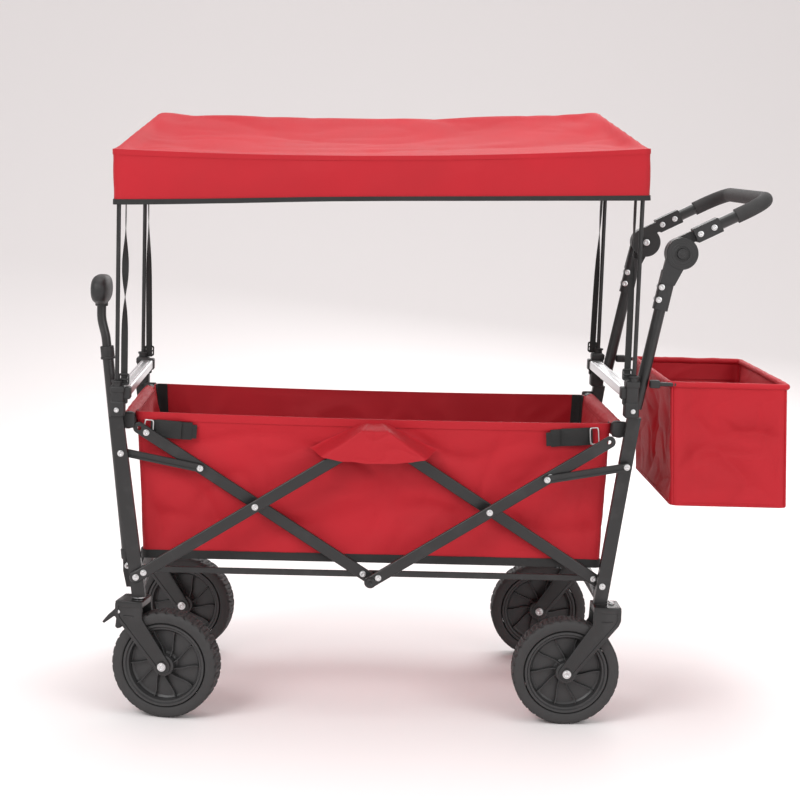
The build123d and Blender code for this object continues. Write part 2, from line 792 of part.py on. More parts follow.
with BuildPart() as bow:
    bow_tube(upper_sleeve[0] + 10.2, handle_tube_r, handle_tube_r - bar_wall)
save(bow.part, "handle_bow")
with BuildPart() as grip:
    bow_tube(grip_start, grip_r, handle_tube_r + 0.05)
save(grip.part, "handle_grip")

# Basket: a fabric bag, open at the top, that hangs on a rod loop behind the handle tubes
with BuildPart() as basket:
    for inset, low, mode in (
        (0, basket_z[0], Mode.ADD),
        (basket_wall, basket_z[0] + basket_wall, Mode.SUBTRACT),
    ):
        for z in (low, basket_z[1]):
            share = (z - basket_z[0]) / (basket_z[1] - basket_z[0])
            x0, x1 = (f + (r - f) * share + s * inset for f, r, s in zip(basket_foot_x, basket_x, (1, -1)))
            with BuildSketch(Plane.XY.offset(z)):
                with Locations((mid_x + (x0 + x1) / 2, 0)):
                    Rectangle(x1 - x0, 2 * (basket_w - inset))
        loft(mode=mode)
save(basket.part, "basket_bag")

rod_z = basket_z[1] + basket_rod_r
rod_front = basket_rod_front
with BuildPart() as basket_rod:
    loop_x = (basket_x[0] + 2, basket_x[1] - 2)
    rod_w = basket_w - 2
    with BuildLine() as path:
        y = rod_w
        corners = [(mid_x + rod_front, -y, rod_z), (mid_x + loop_x[1], -y, rod_z)]
        corners += [(mid_x + loop_x[1], y, rod_z), (mid_x + rod_front, y, rod_z)]
        FilletPolyline(*corners, radius=basket_rod_bend)
    with BuildSketch(Plane(origin=path.line @ 0, z_dir=path.line % 0)):
        Circle(basket_rod_r)
    sweep()
    with Locations((mid_x + loop_x[0], 0, rod_z)):
        Cylinder(basket_rod_r - 0.6, 2 * rod_w, rotation=(90, 0, 0))
save(basket_rod.part, "basket_rod")

# Pull handle: a bracket on the low crossbar, a tube that leans forward, and a curved grip that slides in it
pull = Plane(
    origin=(mid_x + pull_pivot[0], 0, pull_pivot[1]),
    x_dir=(0, 1, 0),
    z_dir=(-sin(radians(pull_lean)), 0, cos(radians(pull_lean))),
)
crossbar_face = front_bar_x - lower_bar_size / 2
with BuildPart() as pull_bracket:
    with BuildSketch(Plane.XZ.offset(-bracket_half)):
        with BuildLine():
            x, z = pull_pivot
            Polyline(
                *[at(px, pz) for px, pz in (
                    (crossbar_face, lower_bar_z + 10),
                    (x + 2, z + 12),
                    (x - 9, z + 8),
                    (x - 9, z - 10),
                    (x - 2, lower_bar_z - 52),
                    (x + 12, lower_bar_z - 52),
                    (crossbar_face, lower_bar_z - 10),
                )],
                close=True,
            )
        make_face()
    extrude(amount=2 * bracket_half)
    with BuildSketch(Plane.XZ.offset(-pull_tube_r - 1)):
        with Locations(at(x - 4, z - 8)):
            Rectangle(40, 90)
    extrude(amount=2 * pull_tube_r + 2, mode=Mode.SUBTRACT)
    with BuildSketch(Plane.XZ.offset(-bracket_half - 2.5)):
        with Locations(at(x, z)):
            Circle(pivot_r)
    extrude(amount=2 * bracket_half + 5)
save(pull_bracket.part, "pull_handle_bracket")

with BuildPart() as outer_tube:
    with BuildSketch(pull.offset(-9)):
        Circle(pull_tube_r)
    extrude(amount=pull_tube_length + 9)
    with BuildSketch(pull.offset(14)):
        Circle(pull_inner_r + fit_gap)
    extrude(amount=pull_tube_length, mode=Mode.SUBTRACT)
    with BuildSketch(Plane.XZ.offset(-30)):
        with Locations(at(*pull_pivot)):
            Circle(pivot_r + fit_gap)
    extrude(amount=60, mode=Mode.SUBTRACT)
save(outer_tube.part, "pull_handle_outer_tube")

grip_base = pull_tube_length + 20
with BuildPart() as inner_tube:
    with BuildLine() as path:
        low = pull.from_local_coords((0, 0, 20))
        bend = pull.from_local_coords((0, 0, grip_base))
        knee = (bend.X + pull_knee, 0, bend.Z + pull_bend)
        tip = (knee[0], 0, knee[2] + pull_bend - 6)
        FilletPolyline(tuple(low), tuple(bend), knee, tip, radius=90)
    with BuildSketch(Plane(origin=path.line @ 0, z_dir=path.line % 0)):
        Circle(pull_inner_r)
        Circle(pull_inner_r - bar_wall, mode=Mode.SUBTRACT)
    sweep()
save(inner_tube.part, "pull_handle_inner_tube")

with BuildPart() as pull_grip:
    grip_plane = Plane(origin=(tip[0], 0, tip[2] + pull_grip_height / 2), x_dir=(0, 1, 0), z_dir=(-1, 0, 0))
    with BuildSketch(grip_plane.offset(-pull_grip_depth / 2)):
        RectangleRounded(pull_grip_width, pull_grip_height, 20)
    extrude(amount=pull_grip_depth)
    fillet(pull_grip.faces().filter_by(Axis.X).edges(), 8)
save(pull_grip.part, "pull_handle_grip")
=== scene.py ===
"""The looks of a folding pull wagon: coated steel, a red polyester tub, basket and canopy, moulded wheels."""

import json
import math

import bpy
from mathutils import Matrix, Vector, noise


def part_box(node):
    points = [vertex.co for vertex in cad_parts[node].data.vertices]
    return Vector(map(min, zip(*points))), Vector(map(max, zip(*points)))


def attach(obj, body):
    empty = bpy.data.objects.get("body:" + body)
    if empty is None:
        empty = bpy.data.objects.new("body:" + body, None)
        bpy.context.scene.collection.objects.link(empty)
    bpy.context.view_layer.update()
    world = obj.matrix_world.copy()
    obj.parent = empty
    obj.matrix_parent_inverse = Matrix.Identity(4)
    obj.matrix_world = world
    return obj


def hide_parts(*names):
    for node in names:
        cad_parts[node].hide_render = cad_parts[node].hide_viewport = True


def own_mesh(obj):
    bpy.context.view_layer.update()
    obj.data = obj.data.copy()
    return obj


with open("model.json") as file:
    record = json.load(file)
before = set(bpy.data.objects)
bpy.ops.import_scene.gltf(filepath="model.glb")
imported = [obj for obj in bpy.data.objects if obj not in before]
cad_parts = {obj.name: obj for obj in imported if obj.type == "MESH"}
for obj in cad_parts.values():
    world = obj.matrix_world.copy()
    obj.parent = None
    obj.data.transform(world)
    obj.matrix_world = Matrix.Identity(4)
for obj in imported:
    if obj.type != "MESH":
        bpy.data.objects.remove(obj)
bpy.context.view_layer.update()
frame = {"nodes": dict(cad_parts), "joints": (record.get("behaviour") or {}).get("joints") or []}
nodes = frame["nodes"]
pivots = {joint["name"]: Vector(joint.get("pos_m", (0, 0, 0))) for joint in frame["joints"]}
axes = {joint["name"]: Vector(joint["axis"]) for joint in frame["joints"]}


# ---------------------------------------------------------------- Studio
# A pale floor that curves up behind into a wall, three large soft lights, and a camera at standing height
# a little ahead of the wagon's middle, on its left side.
bpy.ops.object.select_all(action="DESELECT")
bpy.ops.mesh.primitive_plane_add(size=16, location=(0, -1, 0))
studio_floor = bpy.context.object
studio_floor.name = "studio_floor"
bpy.ops.object.mode_set(mode="EDIT")
bpy.ops.mesh.select_mode(type="EDGE")
bpy.ops.mesh.select_all(action="DESELECT")
bpy.ops.object.mode_set(mode="OBJECT")
for edge in studio_floor.data.edges:
    edge.select = all(studio_floor.data.vertices[i].co.y > 7.9 for i in edge.vertices)
bpy.ops.object.mode_set(mode="EDIT")
bpy.ops.mesh.extrude_region_move(TRANSFORM_OT_translate={"value": (0, 0, 9)})
bpy.ops.mesh.select_all(action="SELECT")
bpy.ops.object.mode_set(mode="OBJECT")
sweep_bend = studio_floor.modifiers.new("sweep_bend", "BEVEL")
sweep_bend.width = 4
sweep_bend.segments = 24
sweep_bend.limit_method = "ANGLE"
bpy.ops.object.modifier_apply(modifier="sweep_bend")
bpy.ops.object.shade_smooth()
floor_paint = bpy.data.materials.new("floor_paint")
floor_paint.use_nodes = True
floor_paint.node_tree.nodes["Principled BSDF"].inputs["Base Color"].default_value = (0.88, 0.84, 0.84, 1)
floor_paint.node_tree.nodes["Principled BSDF"].inputs["Roughness"].default_value = 0.85
studio_floor.data.materials.append(floor_paint)

world = bpy.data.worlds.new("studio_air")
bpy.context.scene.world = world
world.use_nodes = True
world.node_tree.nodes["Background"].inputs["Color"].default_value = (1, 0.985, 0.98, 1)
world.node_tree.nodes["Background"].inputs["Strength"].default_value = 0.62

for name, spot, size, power in (
    ("key_light", (-2.6, -3.2, 3.4), 2.4, 125),
    ("fill_light", (3.2, -3.6, 2.2), 3.0, 70),
    ("top_light", (0.2, 0.6, 4.2), 3.0, 90),
    ("back_light", (0.8, 3.4, 2.4), 2.6, 60),
):
    lamp = bpy.data.lights.new(name, "AREA")
    lamp.size = size
    lamp.energy = power
    light = bpy.data.objects.new(name, lamp)
    bpy.context.scene.collection.objects.link(light)
    aim = Vector((0, 0, 0.6)) - Vector(spot)
    light.matrix_world = Matrix.Translation(spot) @ aim.to_track_quat("-Z", "Y").to_matrix().to_4x4()

eye = Vector((-0.206, -3.668, 1.081))
turn, dip, roll = (math.radians(angle) for angle in (2.26, 7.77, 1.81))
ahead = Vector((math.sin(turn) * math.cos(dip), math.cos(turn) * math.cos(dip), -math.sin(dip)))
level = Vector((math.cos(turn), -math.sin(turn), 0))
upright = level.cross(ahead)
right = level * math.cos(roll) + upright * math.sin(roll)
top = upright * math.cos(roll) - level * math.sin(roll)
lens_mm = 83.6
camera_data = bpy.data.cameras.new("camera")
camera_data.lens = lens_mm
camera_data.sensor_width = 36
camera = bpy.data.objects.new("camera", camera_data)
bpy.context.scene.collection.objects.link(camera)
camera.matrix_world = Matrix.Translation(eye) @ Matrix((right, top, -ahead)).transposed().to_4x4()
bpy.context.scene.camera = camera
bpy.context.scene.view_settings.view_transform = "Standard"


# ---------------------------------------------------------------- Steel frame
# Flat scissor bars, square posts and round tubes, all of steel with a satin black powder coat. The coat has
# a fine orange peel and is rubbed a little paler in patches.
class Wire:
    """A shader socket, so that a pattern's sums are written as plain expressions."""

    def __init__(self, tree, socket):
        self.tree, self.socket = tree, socket

    def node(self, kind, settings=None, out=0, **inputs):
        """A node of the given kind: settings first, then its sockets, named with _ for each space."""
        made = self.tree.nodes.new("ShaderNode" + kind)
        for key, value in (settings or {}).items():
            if key == "stops":
                for stop, (place, colour) in zip(made.color_ramp.elements, value):
                    stop.position, stop.color = place, (*colour, 1) if len(colour) == 3 else colour
            else:
                setattr(made, key, value)
        for key, value in inputs.items():
            found = made.inputs[int(key[1:])] if key[1:].isdigit() else made.inputs[key.replace("_", " ")]
            if isinstance(value, Wire):
                self.tree.links.new(value.socket, found)
            else:
                found.default_value = value
        return Wire(self.tree, made.outputs[out])

    def sum(self, operation, *values):
        return self.node("Math", {"operation": operation}, **{f"s{i}": v for i, v in enumerate(values)})

    def __add__(self, other):
        return self.sum("ADD", self, other)

    def __sub__(self, other):
        return self.sum("SUBTRACT", self, other)

    def __rsub__(self, other):
        return self.sum("SUBTRACT", other, self)

    def __mul__(self, other):
        return self.sum("MULTIPLY", self, other)

    def __truediv__(self, other):
        return self.sum("DIVIDE", self, other)

    __radd__, __rmul__ = __add__, __mul__

    def sine(self):
        return self.sum("SINE", self)

    def above(self, level, soft):
        """0 below level and 1 from level + soft on, with a smooth step between."""
        return self.node("MapRange", {"interpolation_type": "SMOOTHSTEP"}, s0=self, s1=level, s2=level + soft)

    def noise(self, scale, detail=2.0, rough=0.5):
        return self.node("TexNoise", Vector=self, Scale=scale, Detail=detail, Roughness=rough)

    def stretched(self, scale):
        return self.node("Mapping", Vector=self, Scale=scale)

    def tint(self, low, high):
        """A colour between two, chosen by this value."""
        return self.node("Mix", {"data_type": "RGBA"}, out=2, s0=self, s6=(*low, 1), s7=(*high, 1))

    def bump(self, strength, depth):
        return self.node("Bump", Height=self, Strength=strength, Distance=depth)


def finish(name, body, **constants):
    """A material. body gets Object coordinates and UV, and gives what varies; constants are the same all over."""
    material = bpy.data.materials.new(name)
    material.use_nodes = True
    tree = material.node_tree
    shader = tree.nodes["Principled BSDF"]
    start = Wire(tree, None)
    place = start.node("TexCoord", out=3)
    cloth = start.node("TexCoord", out=2)
    for key, value in constants.items():
        shader.inputs[key.replace("_", " ")].default_value = value
    for key, value in body(place, cloth).items():
        tree.links.new(value.socket, shader.inputs[key.replace("_", " ")])
    return material


def dress(material, *names):
    """Gives CAD nodes, or pieces, one material all over."""
    for name in names:
        piece = nodes[name] if isinstance(name, str) else name
        piece.data.materials.clear()
        piece.data.materials.append(material)


def fitted(piece, material, body):
    """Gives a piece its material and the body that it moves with."""
    dress(material, piece)
    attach(piece, body)


def coat_pattern(place, cloth):
    peel = place.noise(1400, 1.0)
    rub = place.noise(22, 4.0, 0.6).above(0.52, 0.2)
    return {
        "Base_Color": rub.tint((0.010, 0.0098, 0.010), (0.019, 0.0185, 0.019)),
        "Roughness": 0.26 + 0.16 * place.noise(60, 3.0),
        "Normal": peel.bump(0.22, 0.0004),
    }


powder_coat = finish("powder_coat", coat_pattern, Specular_IOR_Level=0.55)
dress(
    powder_coat,
    "front_outer_bars", "front_inner_bars", "rear_outer_bars", "rear_inner_bars",
    "front_posts", "rear_posts", "front_lower_crossbar", "rear_lower_crossbar",
    "front_floor_arms", "rear_floor_arms", "front_rim_tube", "rear_rim_tube",
    "front_canopy_hoop", "rear_canopy_hoop", "handle_lower_tubes", "handle_bow",
    "basket_rod", "pull_handle_outer_tube", "pull_handle_inner_tube",
)


# ---------------------------------------------------------------- Rivets and bolts
# Zinc-plated tubular rivets through the scissor bars and posts: a washer, a low domed head and a small
# dimple where each was set. The low centre pivot has a larger bolt with a blackened ring.
def take(piece):
    """Makes a piece the only selected one, and the active one."""
    bpy.ops.object.select_all(action="DESELECT")
    piece.select_set(True)
    bpy.context.view_layer.objects.active = piece
    return piece


def added(kind, name, **settings):
    """Adds a primitive in object mode and names it."""
    bpy.ops.object.select_all(action="DESELECT")
    getattr(bpy.ops.mesh, f"primitive_{kind}_add")(**settings)
    piece = bpy.context.object
    piece.name = name
    return settle(piece)


def settle(piece, matrix=None):
    """Moves a piece's place into its mesh, so that its object sits at the origin."""
    bpy.context.view_layer.update()
    piece.data.transform(piece.matrix_world)
    piece.matrix_world = Matrix.Identity(4)
    if matrix is not None:
        piece.data.transform(matrix)
        if matrix.determinant() < 0:
            piece.data.flip_normals()
    return piece


def modify(piece, kind, **settings):
    """Adds a modifier to a piece and applies it."""
    take(piece)
    modifier = piece.modifiers.new(kind.lower(), kind)
    for key, value in settings.items():
        setattr(modifier, key, value)
    bpy.ops.object.modifier_apply(modifier=modifier.name)
    return piece


def edit(piece, mode, test):
    """Opens a piece in edit mode with only the faces, edges or points that pass a test selected."""
    take(piece)
    bpy.ops.object.mode_set(mode="EDIT")
    bpy.ops.mesh.select_mode(type=mode)
    bpy.ops.mesh.select_all(action="DESELECT")
    bpy.ops.object.mode_set(mode="OBJECT")
    items = {"FACE": piece.data.polygons, "EDGE": piece.data.edges, "VERT": piece.data.vertices}[mode]
    for item in items:
        item.select = bool(test(item))
    bpy.ops.object.mode_set(mode="EDIT")
    return piece


def edge_span(piece, edge, axis):
    """How far an edge reaches along an axis."""
    first, second = (piece.data.vertices[i].co for i in edge.vertices)
    return abs(first[axis] - second[axis])


def done(piece, angle=None):
    """Leaves edit mode. With an angle, it smooths what is flatter than that."""
    bpy.ops.object.mode_set(mode="OBJECT")
    if angle is not None:
        take(piece)
        bpy.ops.object.shade_smooth_by_angle(angle=math.radians(angle))
    return piece


def rounded(piece, width, segments=3, angle=30):
    """Rounds a piece's edges that are sharper than an angle, and smooths it."""
    modify(piece, "BEVEL", width=width, segments=segments, limit_method="ANGLE", angle_limit=math.radians(angle))
    take(piece)
    bpy.ops.object.shade_smooth_by_angle(angle=math.radians(40))
    return piece


def joined(name, pieces):
    """Joins pieces into the first one."""
    take(pieces[0])
    for piece in pieces[1:]:
        piece.select_set(True)
    if len(pieces) > 1:
        bpy.ops.object.join()
    pieces[0].name = name
    return pieces[0]


def copy_of(piece, matrix):
    """A copy with its own mesh, placed by a matrix."""
    twin = piece.copy()
    twin.data = piece.data.copy()
    bpy.context.scene.collection.objects.link(twin)
    return settle(twin, matrix)


def scattered(name, master, places):
    """Copies of a master, one for each matrix, joined as one piece. The master is used up."""
    copies = [copy_of(master, matrix) for matrix in places]
    bpy.data.objects.remove(master)
    return joined(name, copies)


def both(name, piece):
    """A piece joined with its mirror image on the other side."""
    return joined(name, [piece, copy_of(piece, Matrix.Diagonal((1, -1, 1, 1)))])


def facing(spot, outward, along=(0, 0, 1)):
    """A matrix that puts +Z along outward and +X as near to along as it can, at a spot."""
    out = Vector(outward).normalized()
    side = Vector(along) - out * out.dot(Vector(along))
    side = side.normalized() if side.length > 1e-4 else out.orthogonal().normalized()
    return Matrix.Translation(spot) @ Matrix((side, out.cross(side), out)).transposed().to_4x4()


def both_sides(x, w, z):
    """Facing matrices for a point w out from the middle on the left and on the right."""
    return [facing((x, -w, z), (0, -1, 0)), facing((x, w, z), (0, 1, 0))]


def top_face(face):
    return face.normal.z > 0.9 and face.center.z > 0


def rivet(radius, height):
    """A washer with a domed and dimpled head on it, standing on the origin along +Z."""
    washer = added("cylinder", "washer", vertices=32, radius=radius * 1.3, depth=0.0012, location=(0, 0, 0.0006))
    head = added("cylinder", "head", vertices=32, radius=radius, depth=height, location=(0, 0, height / 2 + 0.001))
    rounded(washer, 0.0004, 2)
    edit(head, "FACE", top_face)
    bpy.ops.mesh.inset(thickness=radius * 0.55)
    bpy.ops.mesh.extrude_region_move(TRANSFORM_OT_translate={"value": (0, 0, -height * 0.45)})
    bpy.ops.transform.resize(value=(0.7, 0.7, 1))
    done(head)
    rounded(head, height * 0.3, 3)
    return joined("rivet", [washer, head])


def zinc_pattern(place, cloth):
    return {
        "Base_Color": place.noise(180, 3.0).tint((0.55, 0.55, 0.56), (0.78, 0.78, 0.78)),
        "Roughness": 0.22 + 0.2 * place.noise(320, 3.0),
        "Normal": place.noise(900, 2.0).bump(0.1, 0.0003),
    }


zinc = finish("zinc", zinc_pattern, Metallic=1.0)
dress(
    zinc, "front_frame_bolts", "rear_frame_bolts", "front_outer_bar_bolts", "rear_outer_bar_bolts",
    "top_centre_bolts", "caster_axle_left", "caster_axle_right",
)

outer_face = -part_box("front_outer_bars")[0].y
inner_bar_face = -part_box("front_inner_bars")[0].y
post_face = -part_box("front_posts")[0].y
pivot = pivots["frame_fold"]
front_pivot = pivots["front_frame_pivot"]
crossings = {"front": pivots["front_cross_pivot"], "rear": pivots["rear_cross_pivot"]}
top_pivot = pivots["top_centre_pivot"]
middle_x = top_pivot.x
low_pivot = Vector((middle_x, 0, pivot.z))
head_step = 0.0168  # from a bar's end pivot to the plain rivet beside it
bar_slope = (top_pivot - front_pivot).normalized()


def along_bar(start, length, rising, forward):
    """A point on a bar, a length from start towards the middle of the side or away from it."""
    return start + Vector((bar_slope.x * length * forward, 0, bar_slope.z * length * rising))


rivet_r, rivet_h = 0.0046, 0.003
for name, body, spots, w in (
    (
        "rivets_front_outer_bars", "front_outer_bars",
        [crossings["front"], along_bar(front_pivot, head_step, 1, 1)], outer_face,
    ),
    (
        "rivets_rear_outer_bars", "rear_outer_bars",
        [crossings["rear"], along_bar(low_pivot, head_step, 1, 1), along_bar(low_pivot, 0.392, 1, 1)], outer_face,
    ),
    ("rivets_front_frame", "front_frame", [front_pivot], outer_face),
    ("rivets_rear_frame", "rear_frame", [pivot], post_face),
    ("rivets_rear_inner_bars", "rear_inner_bars", [along_bar(pivot, head_step, 1, -1)], inner_bar_face),
    (
        "rivets_front_inner_bars", "front_inner_bars",
        [along_bar(low_pivot, head_step, 1, -1), along_bar(low_pivot, 0.505, 1, -1)], inner_bar_face,
    ),
):
    master = rivet(rivet_r, rivet_h)
    piece = scattered(name, master, [m for p in spots for m in both_sides(p.x, w, p.z)])
    fitted(piece, zinc, body)

centre_bolt = rivet(0.0085, 0.0052)
centre_bolts = scattered("low_centre_bolts", centre_bolt, both_sides(low_pivot.x, outer_face, low_pivot.z))
fitted(centre_bolts, powder_coat, "rear_outer_bars")


# ---------------------------------------------------------------- Struts
# A stamped strip on each corner with a long pressed groove, rivetted to the post and to a bar's upper half.
for end, body, frame_body in (("front", "front_struts", "front_frame"), ("rear", "rear_struts", "rear_frame")):
    low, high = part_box(f"{end}_struts")
    post_end = pivots[f"{end}_strut_pivot"]
    forward = 1 if end == "front" else -1
    width = 0.015
    thick = 0.005
    reach = (high.x - low.x) - width
    drop = (high.z - low.z) - width
    bar_end = Vector((post_end.x + forward * reach, 0, post_end.z - drop))
    length = (bar_end - post_end).length
    strip = added("cube", f"{end}_strut_strips", size=1)
    strip.data.transform(Matrix.Diagonal((length + width, width, thick, 1)))
    edit(strip, "EDGE", lambda e: edge_span(strip, e, 2) > 0.001)
    bpy.ops.mesh.bevel(offset=width * 0.47, segments=8)
    done(strip)
    edit(strip, "FACE", lambda f: f.normal.z > 0.9)
    bpy.ops.mesh.inset(thickness=0.0042)
    bpy.ops.mesh.extrude_region_move(TRANSFORM_OT_translate={"value": (0, 0, -0.0016)})
    done(strip)
    for point in strip.data.vertices:
        if point.co.z < thick / 2 - 0.0002 and point.co.z > 0:
            point.co.x *= 0.9
    rounded(strip, 0.0006, 3)
    w = -low.y - thick / 2
    side_on = facing(((post_end + bar_end) / 2).xyz - Vector((0, w, 0)), (0, -1, 0), bar_end - post_end)
    flipped = Matrix.Diagonal((1, -1, 1, 1))
    twin = copy_of(strip, flipped @ side_on)
    settle(strip, side_on)
    strips = joined(f"{end}_strut_strips", [strip, twin])
    fitted(strips, powder_coat, body)
    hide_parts(f"{end}_struts")
    heads = rivet(rivet_r, rivet_h)
    heads = scattered(f"{end}_strut_rivets", heads, both_sides(bar_end.x, w + thick / 2, bar_end.z))
    fitted(heads, zinc, body)
    face_w = post_face if end == "front" else w + thick / 2
    heads = rivet(rivet_r, rivet_h)
    heads = scattered(f"{end}_post_rivets", heads, both_sides(post_end.x, face_w, post_end.z))
    fitted(heads, zinc, frame_body)


# ---------------------------------------------------------------- Top crossbars
# A bright extruded aluminium bar across each end, between the corner brackets, dimpled along its top.
def brushed_pattern(place, cloth):
    grain = place.stretched((900, 12, 900)).noise(1.0, 2.0)
    return {
        "Base_Color": grain.tint((0.6, 0.6, 0.61), (0.8, 0.8, 0.81)),
        "Roughness": 0.26 + 0.16 * grain,
        "Normal": grain.bump(0.12, 0.0002),
    }


bright_bar = finish("bright_bar", brushed_pattern, Metallic=1.0)
dress(bright_bar, "front_top_crossbar", "rear_top_crossbar")
dimple_gap = 0.018
for end in ("front", "rear"):
    low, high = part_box(f"{end}_top_crossbar")
    dimple = added("uv_sphere", "dimple", segments=12, ring_count=6, radius=0.0028)
    dimple.data.transform(Matrix.Diagonal((1, 1, 0.45, 1)))
    take(dimple)
    bpy.ops.object.shade_smooth()
    count = int((high.y - low.y - 0.04) / dimple_gap)
    rows = [(x, row) for x in (-0.006, 0.006) for row in range(-(count // 2), count // 2 + 1)]
    spots = [facing(((low.x + high.x) / 2 + x, row * dimple_gap, high.z), (0, 0, 1)) for x, row in rows]
    face_x, face_out = (low.x, -1) if end == "front" else (high.x, 1)
    spots += [
        facing((face_x, row * dimple_gap, (low.z + high.z) / 2), (face_out, 0, 0))
        for row in range(-(count // 2), count // 2 + 1)
    ]
    dimples = scattered(f"{end}_crossbar_dimples", dimple, spots)
    fitted(dimples, bright_bar, f"{end}_frame")


# ---------------------------------------------------------------- Corner brackets
# Moulded nylon blocks on the post heads. Each has a body with a sunk panel and a bolt, a collar for the
# canopy rod, and a sleeve that takes the crossbar's end.
def moulded_pattern(place, cloth):
    return {
        "Base_Color": place.noise(30, 3.0).tint((0.011, 0.011, 0.0115), (0.019, 0.0187, 0.019)),
        "Roughness": 0.46 + 0.16 * place.noise(140, 3.0),
        "Normal": place.noise(1900, 1.0).bump(0.3, 0.0003),
    }


moulded = finish("moulded_nylon", moulded_pattern)


def block(name, size, centre, width, segments=4):
    """A box of a size about a point, with rounded edges."""
    piece = added("cube", name, size=1)
    piece.data.transform(Matrix.Translation(centre) @ Matrix.Diagonal((*size, 1)))
    return rounded(piece, width, segments)


def drum(name, radius, depth, width, segments=3, vertices=40):
    """A cylinder on the origin along +Z with rounded rims."""
    piece = added("cylinder", name, vertices=vertices, radius=radius, depth=depth, location=(0, 0, depth / 2))
    return rounded(piece, width, segments)


def sunk(piece, test, margin, depth):
    """Insets the faces that pass a test and pushes them in along their normals."""
    edit(piece, "FACE", test)
    bpy.ops.mesh.inset(thickness=margin)
    bpy.ops.transform.shrink_fatten(value=-depth)
    return done(piece, 35)


bracket_w = 0.031
for end in ("front", "rear"):
    low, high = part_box(f"{end}_corner_brackets")
    bar_low, bar_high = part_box(f"{end}_top_crossbar")
    rod_low, rod_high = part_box(f"{end}_canopy_hoop")
    rod_x = (rod_low.x if end == "front" else rod_high.x) + (0.004 if end == "front" else -0.004)
    rod_w = -rod_low.y - 0.004
    middle_w = -low.y - bracket_w / 2
    parts = []
    for z0, z1, inset in (
        (low.z, low.z + 0.03, 0.0), (low.z + 0.026, high.z - 0.008, 0.0016), (high.z - 0.014, high.z, 0.0),
    ):
        width = 0.027 - 2 * inset
        x = rod_x + (0.001 if end == "front" else -0.002)
        piece = block("body", (width, bracket_w - 2 * inset, z1 - z0), (x, -middle_w, (z0 + z1) / 2), 0.004)
        if inset == 0.0 and z0 == low.z:
            sunk(piece, lambda f: f.normal.y < -0.99, 0.004, 0.0014)
        parts.append(piece)
    sleeve_x = (bar_low.x + bar_high.x) / 2
    sleeve_size = (bar_high.x - bar_low.x + 0.005, bracket_w * 0.8, bar_high.z - bar_low.z + 0.005)
    parts.append(block("sleeve", sleeve_size, (sleeve_x, -middle_w + 0.004, (bar_low.z + bar_high.z) / 2), 0.003))
    collar = settle(drum("collar", 0.0085, 0.016, 0.0015), Matrix.Translation((rod_x, -rod_w, high.z - 0.006)))
    parts.append(collar)
    lip = settle(drum("lip", 0.0105, 0.004, 0.001), Matrix.Translation((rod_x, -rod_w, high.z + 0.006)))
    parts.append(lip)
    latch_x = rod_x + (0.015 if end == "front" else -0.015)
    latch = block("latch", (0.008, 0.012, 0.02), (latch_x, -middle_w, low.z + 0.034), 0.002)
    parts.append(latch)
    near = joined(f"{end}_bracket_mouldings", parts)
    near = both(f"{end}_bracket_mouldings", near)
    fitted(near, moulded, f"{end}_frame")
    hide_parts(f"{end}_corner_brackets")
    bolts = rivet(0.0035, 0.0022)
    bolts = scattered(f"{end}_bracket_bolts", bolts, both_sides(rod_x, -low.y - 0.0015, low.z + 0.013))
    fitted(bolts, zinc, f"{end}_frame")


# ---------------------------------------------------------------- Wheels
# A foamed tyre with a chevron tread on a moulded rim: a stepped flange, a dished web with ten curved ribs
# on each face, and a hub. The pattern turns with the wheel.
def tyre_pattern(place, cloth):
    dust = place.noise(35, 4.0, 0.6)
    return {
        "Base_Color": dust.tint((0.02, 0.0195, 0.02), (0.042, 0.04, 0.04)),
        "Roughness": 0.62 + 0.2 * dust,
        "Normal": place.noise(800, 3.0).bump(0.35, 0.0005),
    }


tyre_foam = finish("tyre_foam", tyre_pattern)


def rim_pattern(place, cloth):
    return {
        "Base_Color": place.noise(25, 3.0).tint((0.022, 0.0215, 0.022), (0.036, 0.0355, 0.036)),
        "Roughness": 0.34 + 0.18 * place.noise(110, 3.0),
        "Normal": place.noise(1500, 1.0).bump(0.2, 0.0003),
    }


rim_nylon = finish("rim_nylon", rim_pattern)
tyre_r = (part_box("rear_left_tyre")[1].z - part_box("rear_left_tyre")[0].z) / 2
tyre_half = (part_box("rear_left_tyre")[1].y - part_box("rear_left_tyre")[0].y) / 2
rim_r = (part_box("rear_left_rim")[1].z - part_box("rear_left_rim")[0].z) / 2
bead_r = rim_r + 0.0004
blocks_round = 34
groove_depth = 0.0042


def tread(turn, across):
    """How deep the tread is cut at a place: across is -1 to 1 over the tyre's width."""
    chevron = turn * blocks_round / math.tau + 0.9 * abs(across)
    slot_cut = abs((chevron % 1) - 0.5)
    cross_cut = max(0.0, min(1.0, (0.13 - slot_cut) * 14))
    centre_line = 0.10 + 0.07 * math.sin(turn * blocks_round)
    ring_cut = max(0.0, min(1.0, (0.05 - abs(abs(across) - 0.42 - centre_line * 0.4)) * 30))
    return max(cross_cut, ring_cut) * max(0.0, min(1.0, (1.0 - abs(across)) * 9))


